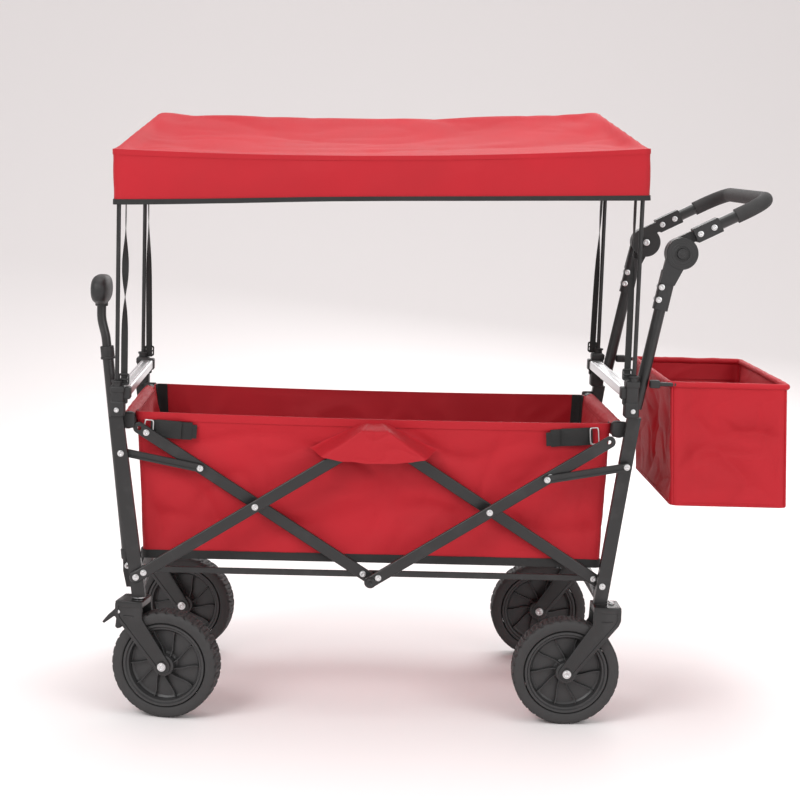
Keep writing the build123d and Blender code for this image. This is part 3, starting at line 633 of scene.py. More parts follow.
tyre = added("torus", "tyre", major_segments=408, minor_segments=44, major_radius=0.09, minor_radius=0.01)
for point in tyre.data.vertices:
    turn = math.atan2(point.co.y, point.co.x)
    out = math.hypot(point.co.x, point.co.y) - 0.09
    angle = math.atan2(point.co.z, out)
    power = 2.0 / 6.5
    across = math.copysign(abs(math.sin(angle)) ** power, math.sin(angle))
    deep = math.copysign(abs(math.cos(angle)) ** power, math.cos(angle))
    mid_r, half_r = (tyre_r + bead_r) / 2, (tyre_r - bead_r) / 2
    width = across * tyre_half * (1.0 if deep > 0 else 0.97)
    radius = mid_r + deep * half_r
    radius -= max(0.0, abs(across) - 0.7) ** 2 * 0.03 if deep > 0 else 0
    if deep > 0.9:
        radius -= groove_depth * tread(turn, across)
    elif deep > 0.2:
        width *= 1 - 0.05 * max(0.0, deep - 0.55) * (1 + math.sin(turn * blocks_round))
    point.co = Vector((radius * math.cos(turn), radius * math.sin(turn), width))
take(tyre)
bpy.ops.object.shade_smooth_by_angle(angle=math.radians(38))
dress(tyre_foam, tyre)

flange_profile = (
    (rim_r, tyre_half - 0.0045), (rim_r - 0.0012, tyre_half - 0.002), (rim_r - 0.005, tyre_half - 0.0022),
    (rim_r - 0.0075, tyre_half - 0.0055), (rim_r - 0.0105, tyre_half - 0.006), (rim_r - 0.012, tyre_half - 0.0095),
    (rim_r - 0.0135, tyre_half - 0.017), (rim_r - 0.017, tyre_half - 0.0195), (rim_r * 0.55, 0.0045),
    (0.024, 0.004), (0.0205, 0.0075), (0.0195, tyre_half - 0.001), (0.0178, tyre_half), (0.009, tyre_half),
)
rim = added("circle", "rim", vertices=len(flange_profile) * 2, radius=0.05)
outline = [(r, z) for r, z in flange_profile] + [(r, -z) for r, z in reversed(flange_profile)]
for point, (r, z) in zip(rim.data.vertices, outline):
    point.co = Vector((r, 0, z))
edit(rim, "VERT", lambda v: True)
bpy.ops.mesh.spin(steps=96, angle=math.tau, center=(0, 0, 0), axis=(0, 0, 1))
bpy.ops.mesh.select_all(action="SELECT")
bpy.ops.mesh.remove_doubles(threshold=0.00001)
bpy.ops.mesh.normals_make_consistent(inside=False)
done(rim, 35)
rib_count = 10
rib_in, rib_out = 0.0185, rim_r - 0.0135
ribs = []
for face in (1, -1):
    for number in range(rib_count):
        rib = added("cube", "rib", size=1)
        edit(rib, "EDGE", lambda e: edge_span(rib, e, 0) > 0.5)
        bpy.ops.mesh.subdivide(number_cuts=9)
        done(rib)
        for point in rib.data.vertices:
            share = point.co.x + 0.5
            radius = rib_in + (rib_out - rib_in) * share
            bend = face * 0.34 * math.sin(share * math.pi * 0.55) + number * math.tau / rib_count
            crown = 0.0175 - 0.0045 * math.sin(share * math.pi) - 0.003 * share
            height = 0.0035 if point.co.z < 0 else crown
            thick = 0.0026 if point.co.z < 0 else 0.0017
            spot = Vector((radius, point.co.y * thick, 0))
            spot.rotate(Matrix.Rotation(bend, 3, "Z"))
            point.co = Vector((spot.x, spot.y, face * height))
        if face < 0:
            rib.data.flip_normals()
        rounded(rib, 0.0005, 2, 50)
        ribs.append(rib)
rim = joined("rim", [rim, *ribs])
dress(rim_nylon, rim)
cap = rivet(0.0062, 0.0045)
dress(zinc, cap)

for wheel in ("front_left", "front_right", "rear_left", "rear_right"):
    hub = pivots[f"{wheel}_wheel_spin"]
    axle = axes[f"{wheel}_wheel_spin"]
    outboard = axle if axle.y * (-1 if "left" in wheel else 1) > 0 else -axle
    seat = facing(hub, outboard)
    for kind, master, slot in (("tyre", tyre, "tyre_rubber"), ("rim", rim, "rim_plastic")):
        piece = copy_of(master, seat)
        piece.name = f"{wheel}_{'treaded_tyre' if kind == 'tyre' else 'ribbed_rim'}"
        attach(piece, f"{wheel}_wheel")
        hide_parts(f"{wheel}_{kind}")
    carrier = "rear_frame" if "rear" in wheel else f"caster_{wheel.split('_')[1]}"
    for side, sign in (("outer", 1), ("inner", -1)):
        reach = 0.027 + 0.004 + 0.0005
        piece = copy_of(cap, facing(hub + outboard * sign * reach, outboard * sign))
        piece.name = f"{wheel}_{side}_axle_cap"
        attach(piece, carrier)
for master in (tyre, rim, cap):
    bpy.data.objects.remove(master)


# ---------------------------------------------------------------- Forks and brakes
# Welded steel forks: two pressed cheeks with a raised rim and a sunk field, under a folded crown. The front
# pair swivel on kingpins and carry a rocking brake lever with a finger tab and a toe that meets the tyre.
def cut_plate(name, outline, thick):
    """A flat plate of a given outline in the XY plane, thick along +Z. The outline runs anticlockwise."""
    plate = added("circle", name, vertices=len(outline), radius=0.01, fill_type="NGON")
    for point, (x, y) in zip(plate.data.vertices, outline):
        point.co = Vector((x, y, 0))
    edit(plate, "FACE", lambda f: True)
    bpy.ops.mesh.extrude_region_move(TRANSFORM_OT_translate={"value": (0, 0, thick)})
    bpy.ops.mesh.select_all(action="SELECT")
    bpy.ops.mesh.normals_make_consistent(inside=False)
    return done(plate)


def bow(centre, radius, start, stop, steps):
    """Points along an arc, in degrees."""
    angles = [math.radians(start + (stop - start) * i / steps) for i in range(steps + 1)]
    return [(centre[0] + radius * math.cos(a), centre[1] + radius * math.sin(a)) for a in angles]


crown_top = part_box("caster_fork_left")[1].z
fork_half = 0.031


def fork_pieces(name, trail, top):
    """A fork in its own frame: x along the trail, y up, z along the axle towards the outside."""
    sign = 1 if trail > 0 else -1
    low = top - 0.03
    reach = [(-0.037, low + 0.004), (-0.033, low - 0.006)]
    foot = bow((abs(trail), tyre_r), 0.0155, 205, 395, 14)
    reach += foot
    reach += [(0.0165, low - 0.004), (0.015, top - 0.0005), (-0.031, top - 0.0005), (-0.037, top - 0.006)]
    parts = []
    for face in (1, -1):
        cheek = cut_plate("cheek", reach, 0.004)
        rounded(cheek, 0.0012, 2, 60)
        edit(cheek, "FACE", lambda f: f.normal.z > 0.99 and f.area > 0.0008)
        bpy.ops.mesh.inset(thickness=0.0055)
        bpy.ops.mesh.extrude_region_move(TRANSFORM_OT_translate={"value": (0, 0, -0.0014)})
        done(cheek, 30)
        turn = Matrix.Translation((0, 0, face * 0.027)) @ Matrix.Diagonal((sign, 1, face, 1))
        parts.append(settle(cheek, turn))
        rib = block("press_line", (0.021, 0.0022, 0.0016), (-0.011, low + 0.001, 0.0038), 0.0007, 2)
        parts.append(settle(rib, turn))
        boss = drum("boss", 0.0105, 0.0012, 0.0004, 2)
        parts.append(settle(boss, turn @ Matrix.Translation((abs(trail), tyre_r, 0.0036))))
    crown = block("crown", (0.052, 0.0135, 2 * fork_half - 0.001), (sign * -0.011, top - 0.007, 0), 0.003)
    parts.append(crown)
    skirt = block("skirt", (0.004, 0.022, 2 * fork_half - 0.006), (sign * -0.034, low + 0.009, 0), 0.0012)
    parts.append(skirt)
    collar = drum("collar", 0.0135, 0.0016, 0.0004)
    parts.append(settle(collar, Matrix.Rotation(-math.pi / 2, 4, "X") @ Matrix.Translation((0, 0, top))))
    return joined(name, parts)


def brake_pieces(name):
    """A brake lever in the fork's frame, about its own pivot."""
    lever = cut_plate(
        "lever",
        [(-0.036, -0.0245), (-0.0325, -0.0275), (-0.0285, -0.0245), (-0.012, -0.012), (-0.0085, -0.016),
         (-0.0105, -0.0325), (-0.006, -0.036), (0.0015, -0.0335), (0.0052, -0.012), (0.0062, -0.002),
         *bow((0, 0), 0.0066, 0, 110, 6), (-0.012, 0.0015), (-0.024, -0.01)],
        0.038,
    )
    settle(lever, Matrix.Translation((0, 0, -0.019)))
    rounded(lever, 0.0016, 3, 25)
    ridges = [
        block("ridge", (0.0016, 0.0014, 0.03), (-0.016 - 0.0045 * i, -0.0035 - 0.0047 * i, 0), 0.0005, 2)
        for i in range(4)
    ]
    pins = [settle(drum("pin", 0.0032, 0.062, 0.0006), Matrix.Translation((0, 0, -0.031)))]
    return joined(name, [lever, *ridges]), pins[0]


for side, sign in (("left", -1), ("right", 1)):
    hub, kingpin = pivots[f"front_{side}_wheel_spin"], pivots[f"caster_swivel_{side}"]
    reach = Vector((hub.x - kingpin.x, hub.y - kingpin.y, 0))
    outward = axes[f"front_{side}_wheel_spin"].copy()
    ahead_of = reach.normalized()
    seat = Matrix((ahead_of, Vector((0, 0, 1)), ahead_of.cross(Vector((0, 0, 1))))).transposed().to_4x4()
    seat = Matrix.Translation((kingpin.x, kingpin.y, 0)) @ seat
    fork = settle(fork_pieces(f"pressed_fork_{side}", reach.length, crown_top), seat)
    fitted(fork, powder_coat, f"caster_{side}")
    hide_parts(f"caster_fork_{side}")
    brake_at = pivots[f"brake_{side}_press"]
    back = (Vector((brake_at.x, brake_at.y, 0)) - Vector((kingpin.x, kingpin.y, 0))).dot(ahead_of)
    lever, pin = brake_pieces(f"brake_lever_{side}")
    for piece, body in ((lever, f"brake_{side}"), (pin, f"caster_{side}")):
        settle(piece, seat @ Matrix.Translation((back, brake_at.z, 0)))
        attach(piece, body)
    pin.name = f"brake_pin_{side}"
    dress(moulded, lever)
    dress(zinc, pin)
    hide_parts(f"brake_pedal_{side}")

rear_hub = pivots["rear_left_wheel_spin"]
rear_kingpin_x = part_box("rear_forks")[1].x - 0.036
seat = Matrix.Translation((rear_kingpin_x, rear_hub.y, 0)) @ Matrix(((1, 0, 0), (0, 0, -1), (0, 1, 0))).to_4x4()
rear_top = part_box("rear_forks")[1].z
near = settle(fork_pieces("near", rear_hub.x - rear_kingpin_x, rear_top), seat)
forks = both("rear_pressed_forks", near)
fitted(forks, powder_coat, "rear_frame")
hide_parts("rear_forks")
king_nuts = rivet(0.0048, 0.0042)
spots = [facing((rear_kingpin_x - 0.0, sign * rear_hub.y, rear_top + 0.0004), (0, 0, 1)) for sign in (1, -1)]
king_nuts = scattered("rear_fork_nuts", king_nuts, [Matrix.Translation((0.021, 0, 0)) @ m for m in spots])
fitted(king_nuts, zinc, "rear_frame")


# ---------------------------------------------------------------- Tub
# A tub sewn from coated red oxford polyester, hung inside the bars. Its border is hemmed, its floor is
# bound with black webbing, its corners are taped black, and its ends are rolled over the rim tubes.
def weave(cloth, pitch):
    """Plain-weave threads from UV in metres, from -1 to 1."""
    across = cloth.node("SeparateXYZ", out=0, Vector=cloth) * (math.tau / pitch)
    along = cloth.node("SeparateXYZ", out=1, Vector=cloth) * (math.tau / pitch)
    return across.sine() * along.sine()


def crumple(place, scale):
    return place.node(
        "TexNoise", {"noise_type": "RIDGED_MULTIFRACTAL"}, Vector=place, Scale=scale, Detail=3.0, Roughness=0.45
    )


def polyester_pattern(place, cloth):
    fade = place.noise(5, 4.0, 0.6)
    threads = weave(cloth, 0.0016)
    folds = crumple(place, 7)
    return {
        # The fold pattern also lowers the colour along its crease lines, which is painted shade in the creases. The
        # weave and the random fade are the cloth's own tone.
        "Base_Color": (fade + 0.07 * threads - 0.05 * folds).tint((0.34, 0.004, 0.010), (0.49, 0.007, 0.018)),
        "Roughness": 0.58 + 0.14 * fade + 0.06 * threads,
        "Normal": (threads * 0.05 + folds * 0.9).bump(0.45, 0.005),
    }


red_polyester = finish(
    "red_polyester", polyester_pattern, Sheen_Weight=0.03, Sheen_Roughness=0.4, Specular_IOR_Level=0.35,
)


def webbing_pattern(place, cloth):
    rib = cloth.node("SeparateXYZ", out=1, Vector=cloth) * (math.tau / 0.0016)
    ribs = rib.sine() + 0.5 * weave(cloth, 0.0011)
    return {
        "Base_Color": place.noise(60, 3.0).tint((0.008, 0.008, 0.008), (0.016, 0.0155, 0.0155)),
        "Roughness": 0.72 + 0.08 * ribs,
        "Normal": ribs.bump(0.5, 0.0004),
    }


black_webbing = finish("black_webbing", webbing_pattern)


def unwrap(piece):
    """Lays a piece's UV out in metres, face by face, so that a weave keeps its pitch."""
    edit(piece, "FACE", lambda f: True)
    bpy.ops.uv.cube_project(cube_size=1.0, correct_aspect=False, scale_to_bounds=False)
    return done(piece)


def cloth_box(name, size, cuts, depth, rows):
    """An open box of cloth about the origin: a flat panel whose border is drawn out along Z in rows."""
    sheet = added("grid", name, x_subdivisions=cuts[0], y_subdivisions=cuts[1], size=1)
    sheet.data.transform(Matrix.Diagonal((*size, 1, 1)))
    points = sheet.data.vertices
    near = 0.0001

    def on_border(e):
        a, b = (points[i].co for i in e.vertices)
        return min(abs(a.x), abs(b.x)) > size[0] / 2 - near or min(abs(a.y), abs(b.y)) > size[1] / 2 - near

    edit(sheet, "EDGE", on_border)
    for row in range(rows):
        bpy.ops.mesh.extrude_region_move(TRANSFORM_OT_translate={"value": (0, 0, depth / rows)})
    bpy.ops.mesh.select_all(action="SELECT")
    bpy.ops.mesh.normals_make_consistent(inside=False)
    return done(sheet)


def corner_round(x, y, half_x, half_y, radius):
    """Moves a point of a rectangle so that the rectangle's corners become arcs."""
    dx, dy = abs(x) - (half_x - radius), abs(y) - (half_y - radius)
    if dx <= 0 or dy <= 0:
        return x, y
    share = max(dx, dy) / math.hypot(dx, dy)
    return (
        math.copysign(half_x - radius + dx * share, x),
        math.copysign(half_y - radius + dy * share, y),
    )


def fold(spot, scale, seed):
    """A crease pattern from 0 to 1: sharp fold lines between soft facets."""
    p = Vector((spot.x, spot.y, spot.z)) * scale + Vector((seed, seed * 1.7, seed * 0.6))
    bent = p + Vector((noise.noise(p * 0.7), noise.noise(p * 0.7 + Vector((5, 2, 8))), 0)) * 0.6
    return max(0.0, 1 - 3.2 * abs(noise.noise(bent))) ** 1.6


def smooth(value):
    value = max(0.0, min(1.0, value))
    return value * value * (3 - 2 * value)


def strip_of(piece, name, test, thick, offset):
    """A tape cut from a cloth piece's own surface: the faces that pass a test, given a thickness."""
    tape = copy_of(piece, Matrix.Identity(4))
    tape.name = name
    edit(tape, "FACE", lambda f: not test(f))
    bpy.ops.mesh.delete(type="FACE")
    done(tape)
    modify(tape, "SOLIDIFY", thickness=thick, offset=offset)
    take(tape)
    bpy.ops.object.shade_smooth_by_angle(angle=math.radians(50))
    return unwrap(tape)


def made_cloth(piece, thick, offset=-1):
    """Gives a cloth piece its thickness and its smooth shading, and lays out its UV."""
    modify(piece, "SOLIDIFY", thickness=thick, offset=offset)
    take(piece)
    bpy.ops.object.shade_smooth_by_angle(angle=math.radians(70))
    return unwrap(piece)


fold_shift = 0.52886  # how far the front frame comes back as the wagon folds


def folds_up(piece, slot, front_x=front_pivot.x, rear_x=pivot.x):
    """Hangs a soft piece on the rear frame, which it moves with, and gives it its own mesh."""
    keep = (rear_x - front_x - fold_shift) / (rear_x - front_x)
    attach(piece, "rear_frame")
    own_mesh(piece)
    return piece


tub_low, tub_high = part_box("tub_fabric")
front_tube, rear_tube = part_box("front_rim_tube"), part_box("rear_rim_tube")
floor_z, rim_z = tub_low.z, tub_high.z
half_w = tub_high.y - 0.0004
floor_x = (tub_low.x + 0.020, tub_high.x - 0.011)
rim_x = (front_tube[1].x + 0.0035, rear_tube[0].x - 0.0035)
tub_mid = (floor_x[0] + floor_x[1]) / 2
tub_half = (floor_x[1] - floor_x[0]) / 2
tub_depth = rim_z - floor_z
tub_corner = 0.013
tub = cloth_box("tub_cloth", (2 * tub_half, 2 * half_w), (110, 48), tub_depth, 36)
for point in tub.data.vertices:
    x, y, rise = point.co
    share = rise / tub_depth
    x, y = corner_round(x, y, tub_half, half_w, tub_corner)
    on_end = smooth((abs(x) - (tub_half - 0.06)) / 0.06)
    rim_end = rim_x[1] - tub_mid if x > 0 else tub_mid - rim_x[0]
    stretch = 1 + (rim_end / tub_half - 1) * share
    end_dip = 0.03 * on_end * smooth(share * 3 - 2) * (abs(y) < half_w - 0.03)
    spot = Vector((tub_mid + x * stretch, y, floor_z + rise * (1 - end_dip)))
    if rise > 0.0001:
        side_wall = abs(point.co.y) > half_w - 0.0002
        middle = math.sin(math.pi * min(1.0, share * 1.04)) ** 0.6
        deep = 0.010 * fold(Vector((spot.x, y, spot.z * 1.5)), 5.2, 3.1) + 0.0045 * fold(spot, 12, 7.7)
        pull = 0.004 * math.sin(spot.x * 9 + spot.z * 16) * (1 - share)
        off_corner = tub_half - abs(x) if side_wall else half_w - abs(y)
        inward = (deep + max(0.0, pull)) * middle * smooth(off_corner / 0.035) + 0.0012 * share
        droop = 0.004 * smooth(share * 5 - 4) * (1 - (x / tub_half) ** 2)
        if side_wall:
            spot.y -= math.copysign(inward, y)
            spot.z -= droop
        else:
            spot.x -= math.copysign(inward * 1.3, x)
    point.co = spot
hem_z = rim_z - 0.019
band_z = floor_z + 0.019
tub_rim_hem = strip_of(tub, "tub_rim_hem", lambda f: f.center.z > hem_z and abs(f.normal.z) < 0.6, 0.0032, 0.2)
tub_band = strip_of(tub, "tub_floor_webbing", lambda f: f.center.z < band_z and abs(f.normal.z) < 0.75, 0.0028, 0.4)


def at_corner(face):
    """The first columns of faces on each side of an upright corner, above the floor's binding."""
    share = (face.center.z - floor_z) / tub_depth
    rim_end = rim_x[1] - tub_mid if face.center.x > tub_mid else tub_mid - rim_x[0]
    x = abs(face.center.x - tub_mid) / (1 + (rim_end / tub_half - 1) * share)
    y = abs(face.center.y)
    beside = (x > tub_half - 0.0125 and y > half_w - 0.022) or (y > half_w - 0.0125 and x > tub_half - 0.022)
    return beside and face.center.z > band_z and abs(face.normal.z) < 0.6


tub_tapes = strip_of(tub, "tub_corner_tapes", at_corner, 0.0018, -2.2)
made_cloth(tub, 0.0012)
for piece, material, slot in (
    (tub, red_polyester, "fabric_red"), (tub_rim_hem, red_polyester, "fabric_red"),
    (tub_band, black_webbing, "webbing_black"), (tub_tapes, black_webbing, "webbing_black"),
):
    dress(material, piece)
    folds_up(piece, slot, *rim_x)
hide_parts("tub_fabric")

roll_r = 0.0128
for end, (low, high), inward in (("front", front_tube, 1), ("rear", rear_tube, -1)):
    roll = added("cylinder", f"tub_{end}_roll", vertices=40, radius=roll_r, depth=1, end_fill_type="NOTHING")
    edit(roll, "EDGE", lambda e: edge_span(roll, e, 2) > 0.5)
    bpy.ops.mesh.subdivide(number_cuts=70)
    bpy.ops.mesh.select_all(action="SELECT")
    bpy.ops.mesh.normals_make_consistent(inside=False)
    done(roll)
    half_roll = high.y - 0.004
    centre = Vector(((low.x + high.x) / 2, 0, (low.z + high.z) / 2))
    for point in roll.data.vertices:
        y = point.co.z * 2 * half_roll
        turn = math.atan2(point.co.y, point.co.x)
        pucker = 0.0011 * noise.noise(Vector((y * 24, turn * 1.3, 2 if end == "front" else 9)))
        pucker += 0.0009 * fold(Vector((y, turn * 0.02, 0)), 26, 1.5)
        radius = roll_r + pucker + (0.0016 if math.cos(turn) * inward < 0 else 0) * abs(math.sin(turn)) ** 6
        lean = 0.004 * max(0.0, -math.sin(turn)) * inward
        point.co = centre + Vector((radius * math.cos(turn) + lean, y, radius * math.sin(turn)))
    made_cloth(roll, 0.0012)
    fitted(roll, red_polyester, f"{end}_frame")
    hoods = []
    for sign in (-1, 1):
        hood = drum("hood", 0.0148, 0.037, 0.004, 4)
        hoods.append(settle(hood, facing(centre + Vector((0, sign * (high.y - 0.006), 0)), (0, sign, 0))))
        ear = block("ear", (0.027, 0.012, 0.03), centre + Vector((0.0, sign * (high.y + 0.0265), 0.002)), 0.0045)
        hoods.append(ear)
    hoods = joined(f"{end}_corner_hoods", hoods)
    fitted(hoods, moulded, f"{end}_frame")
    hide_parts(f"{end}_rim_corner_caps")


def ribbon(name, width, length, thick, cuts=(6, 60)):
    """A flat strap on the origin: its length along X, its width along Y, lying in the XY plane."""
    strap = added("grid", name, x_subdivisions=cuts[1], y_subdivisions=cuts[0], size=1)
    strap.data.transform(Matrix.Diagonal((length, width, 1, 1)))
    modify(strap, "SOLIDIFY", thickness=thick, offset=0)
    return strap


def wire_ring(name, width, height, radius, wire):
    """A rectangular ring of round wire in the XY plane, with rounded corners."""
    ring = added("torus", name, major_segments=64, minor_segments=12, major_radius=1, minor_radius=wire)
    for point in ring.data.vertices:
        turn = math.atan2(point.co.y, point.co.x)
        out = math.hypot(point.co.x, point.co.y) - 1
        cosine, sine = math.cos(turn), math.sin(turn)
        across = math.copysign(abs(cosine) ** 0.35, cosine) * (width / 2 + out)
        along = math.copysign(abs(sine) ** 0.35, sine) * (height / 2 + out)
        point.co = Vector((across, along, point.co.z))
    take(ring)
    bpy.ops.object.shade_smooth()
    return ring


wall_w = half_w + 0.0012
for end, body, x0, x1, z_mid, tilt_up in (
    ("front", "front_frame", -0.420, -0.342, 0.5410, -3), ("rear", "rear_frame", 0.334, 0.414, 0.5460, 5),
):
    outward_x = -1 if end == "front" else 1
    length, tall = x1 - x0, 0.033
    strap = ribbon("strap", tall, length, 0.0022)
    pad = ribbon("pad", tall * 1.02, length * 0.62, 0.0026)
    pad.data.transform(Matrix.Translation((outward_x * length * 0.06, 0.0006, 0.0026)))
    tail = ribbon("tail", tall * 0.8, length * 0.3, 0.002)
    tail.data.transform(Matrix.Translation((-outward_x * length * 0.46, -0.001, -0.0004)))
    hump = joined("strap", [strap, pad, tail])
    for point in hump.data.vertices:
        point.co.z += 0.0022 * math.sin(point.co.x / length * math.pi * 2.2) + 0.0012 * math.sin(point.co.y * 160)
    rounded(hump, 0.0006, 2)
    stitch_size = (0.0008, tall * 0.8, 0.0006)
    bars = [
        block("stitch_row", stitch_size, (outward_x * length * share, 0, 0.0048), 0.0002, 1)
        for share in (-0.22, 0.32)
    ]
    ring = wire_ring("ring", 0.016, tall * 0.95, 0.004, 0.0013)
    ring.data.transform(Matrix.Translation((outward_x * (length / 2 + 0.003), 0, 0.003)))
    along = (1, 0, math.tan(math.radians(tilt_up)))
    seat = facing((middle_x + (x0 + x1) / 2, -wall_w - 0.0012, z_mid), (0, -1, 0), along)
    for piece, name, material, slot in (
        (joined("straps", [hump, *bars]), f"{end}_side_straps", black_webbing, "webbing_black"),
        (ring, f"{end}_strap_rings", zinc, "bolt_steel"),
    ):
        settle(piece, seat)
        piece = both(name, piece)
        unwrap(piece)
        fitted(piece, material, body)

bar_bulge = outer_face + 0.0055
flap_top, flap_low, flap_half, gusset = 0.566, 0.502, 0.094, 0.026
flap = added("grid", "top_pivot_flap", x_subdivisions=92, y_subdivisions=40, size=2)
for point in flap.data.vertices:
    side, drop = point.co.x * 1.3, (1 - point.co.y) / 2
    panel = max(-1.0, min(1.0, side))
    past = max(0.0, abs(side) - 1) / 0.3
    x = panel * (0.008 + (flap_half - 0.008) * drop) + math.copysign(gusset * past * (0.3 + 0.7 * drop), side)
    lift = smooth(drop / 0.2) * (1 - smooth(past))
    crease = 0.0025 * fold(Vector((x, 0, drop * 0.1)), 17, 4.4) + 0.002 * math.exp(-((panel * 7) ** 2)) * (1 - drop)
    w = wall_w + 0.0006 + (bar_bulge - wall_w) * lift - crease * lift * (1 - drop * 0.5) + 0.0025 * lift * drop
    z = flap_top - (flap_top - flap_low) * drop - 0.008 * math.cos(panel * math.pi / 2) * drop + 0.012 * past * drop
    point.co = Vector((middle_x + x, -w, z + 0.002 * noise.noise(Vector((x * 40, 3, 0))) * drop))
made_cloth(flap, 0.0013, 0)
flap = both("top_pivot_flaps", flap)
dress(red_polyester, flap)
folds_up(flap, "fabric_red")


# ---------------------------------------------------------------- Floor mat
# Four stiff panels sewn into one black quilted cover, which lies on the tub's floor and moves with the rear frame.
def mat_pattern(place, cloth):
    threads = weave(cloth, 0.0018)
    return {
        "Base_Color": (place.noise(12, 3.0) + 0.1 * threads).tint((0.018, 0.018, 0.019), (0.04, 0.039, 0.04)),
        "Roughness": 0.7 + 0.1 * threads,
        "Normal": (threads * 0.2 + crumple(place, 16)).bump(0.3, 0.0015),
    }


mat_cover = finish("mat_cover", mat_pattern)
mat_low, mat_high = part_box("floor_mat")
mat = added("grid", "quilted_floor_mat", x_subdivisions=128, y_subdivisions=60, size=1)
mat_size = mat_high - mat_low
edit(mat, "FACE", lambda f: True)
bpy.ops.mesh.extrude_region_move(TRANSFORM_OT_translate={"value": (0, 0, 1)})
bpy.ops.mesh.select_all(action="SELECT")
bpy.ops.mesh.normals_make_consistent(inside=False)
done(mat)
panels = 4
for point in mat.data.vertices:
    u, v, level_up = point.co.x + 0.5, point.co.y + 0.5, point.co.z
    x, y = corner_round(u - 0.5, v - 0.5, 0.5, 0.5, 0.03)
    panel = (u * panels) % 1
    from_fold = min(panel, 1 - panel) / panels * mat_size.x
    from_edge = min(u * mat_size.x, (1 - u) * mat_size.x, v * mat_size.y, (1 - v) * mat_size.y)
    quilt = abs(math.sin(v * math.pi * 4)) ** 0.35
    puff = smooth(min(from_fold, from_edge) / 0.016) ** 0.7 * (0.72 + 0.28 * quilt)
    top_z = mat_low.z + 0.0028 + (mat_size.z - 0.0034) * puff
    z = top_z if level_up > 0.5 else mat_low.z + 0.0002
    point.co = Vector((mat_low.x + mat_size.x * (x + 0.5), mat_low.y + mat_size.y * (y + 0.5), z))
take(mat)
bpy.ops.object.shade_smooth_by_angle(angle=math.radians(60))
unwrap(mat)
dress(mat_cover, mat)
folds_up(mat, "mat_fabric", *rim_x)
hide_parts("floor_mat")


# ---------------------------------------------------------------- Canopy
# One sheet of the red polyester over both rods: a hipped roof with a slack ridge and hollow slopes, and a
# straight skirt whose hem is bound in black. It's tight at the corners and creased towards them.
canopy_low, canopy_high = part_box("canopy_fabric")
canopy_half_x, canopy_half_y = 0.492, canopy_high.y
skirt, ridge_rise, ridge_in = 0.095, 0.076, 0.062
skirt_rows, canopy_cuts = 10, (130, 66)
canopy_mid = Vector(((canopy_low.x + canopy_high.x) / 2 - 0.0015, 0, 1.076))
canopy_tilt = Matrix.Rotation(-math.asin(0.031 / 0.984), 4, "Y")
canopy = cloth_box("canopy_cloth", (2 * canopy_half_x, 2 * canopy_half_y), canopy_cuts, -skirt, skirt_rows)
for point in canopy.data.vertices:
    flat_x, flat_y, drop = point.co
    x, y = corner_round(flat_x, flat_y, canopy_half_x, canopy_half_y, 0.016)
    fall = -drop / skirt
    to_side = 1 - abs(y) / canopy_half_y
    to_end = (canopy_half_x - abs(x)) / ridge_in
    near = math.sqrt((to_side - to_end) ** 2 + 0.02)
    climb = max(0.0, min(1.0, (to_side + to_end - near) / 2))
    lengthwise = 1 - (x / canopy_half_x) ** 2
    slack = 0.017 * smooth(climb * 1.2) * lengthwise
    eave_sag = 0.013 * lengthwise * (1 - fall) * math.exp(-to_side * 4)
    along_slope = Vector((x * 0.6, y * 1.7, 0))
    crease = 0.0034 * fold(along_slope, 5.5, 2.3) + 0.0016 * fold(along_slope, 13, 8.1)
    rays = 0.0022 * math.sin(math.atan2(y, canopy_half_x - abs(x) + 0.02) * 11) * math.exp(-to_end * 0.28)
    taut = math.exp(-((to_side - min(to_end, 1.0)) / 0.3) ** 2) * (1 - smooth((to_end - 1) / 0.8))
    hollow = climb ** 1.75 + (climb - climb ** 1.75) * taut
    height = ridge_rise * hollow - slack - eave_sag - (crease - rays) * smooth(climb * 5) * (1 - taut)
    if fall > 0.001:
        swell = 0.0035 * math.sin(math.pi * fall) + 0.0035 * noise.noise(Vector((x * 7, y * 7, fall * 1.2)))
        swell += 0.0022 * fold(Vector((x, y, fall * 0.05)), 8, 6.6) - 0.0015
        swell *= smooth(fall * 3) * (1 - 0.5 * fall)
        far_droop = (0.018 - 0.012 * (x / canopy_half_x + 1) / 2) * smooth(y / canopy_half_y * 3 - 1) * fall
        if abs(flat_y) > canopy_half_y - 0.0001:
            y += math.copysign(swell, y)
        if abs(flat_x) > canopy_half_x - 0.0001:
            x += math.copysign(swell, x)
        near_droop = 0.006 * smooth(-x / canopy_half_x) * smooth(-y / canopy_half_y * 3 - 1) * fall
        height = -skirt * fall - eave_sag - far_droop - near_droop
    point.co = canopy_mid + canopy_tilt @ Vector((x, y, height))
last_row = len(canopy.data.polygons) - 2 * sum(canopy_cuts)
canopy_hem = strip_of(canopy, "canopy_hem_binding", lambda f: f.index >= last_row, 0.003, 0.1)
first_row = len(canopy.data.polygons) - 2 * sum(canopy_cuts) * skirt_rows
canopy_seam = strip_of(
    canopy, "canopy_eave_seam", lambda f: first_row <= f.index < first_row + 2 * sum(canopy_cuts), 0.0022, 0.0
)
made_cloth(canopy, 0.0011)
for piece, material, slot in (
    (canopy, red_polyester, "fabric_red"), (canopy_hem, black_webbing, "webbing_black"),
    (canopy_seam, red_polyester, "fabric_red"),
):
    dress(material, piece)
    folds_up(piece, slot, canopy_mid.x - canopy_half_x, canopy_mid.x + canopy_half_x)
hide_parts("canopy_fabric")

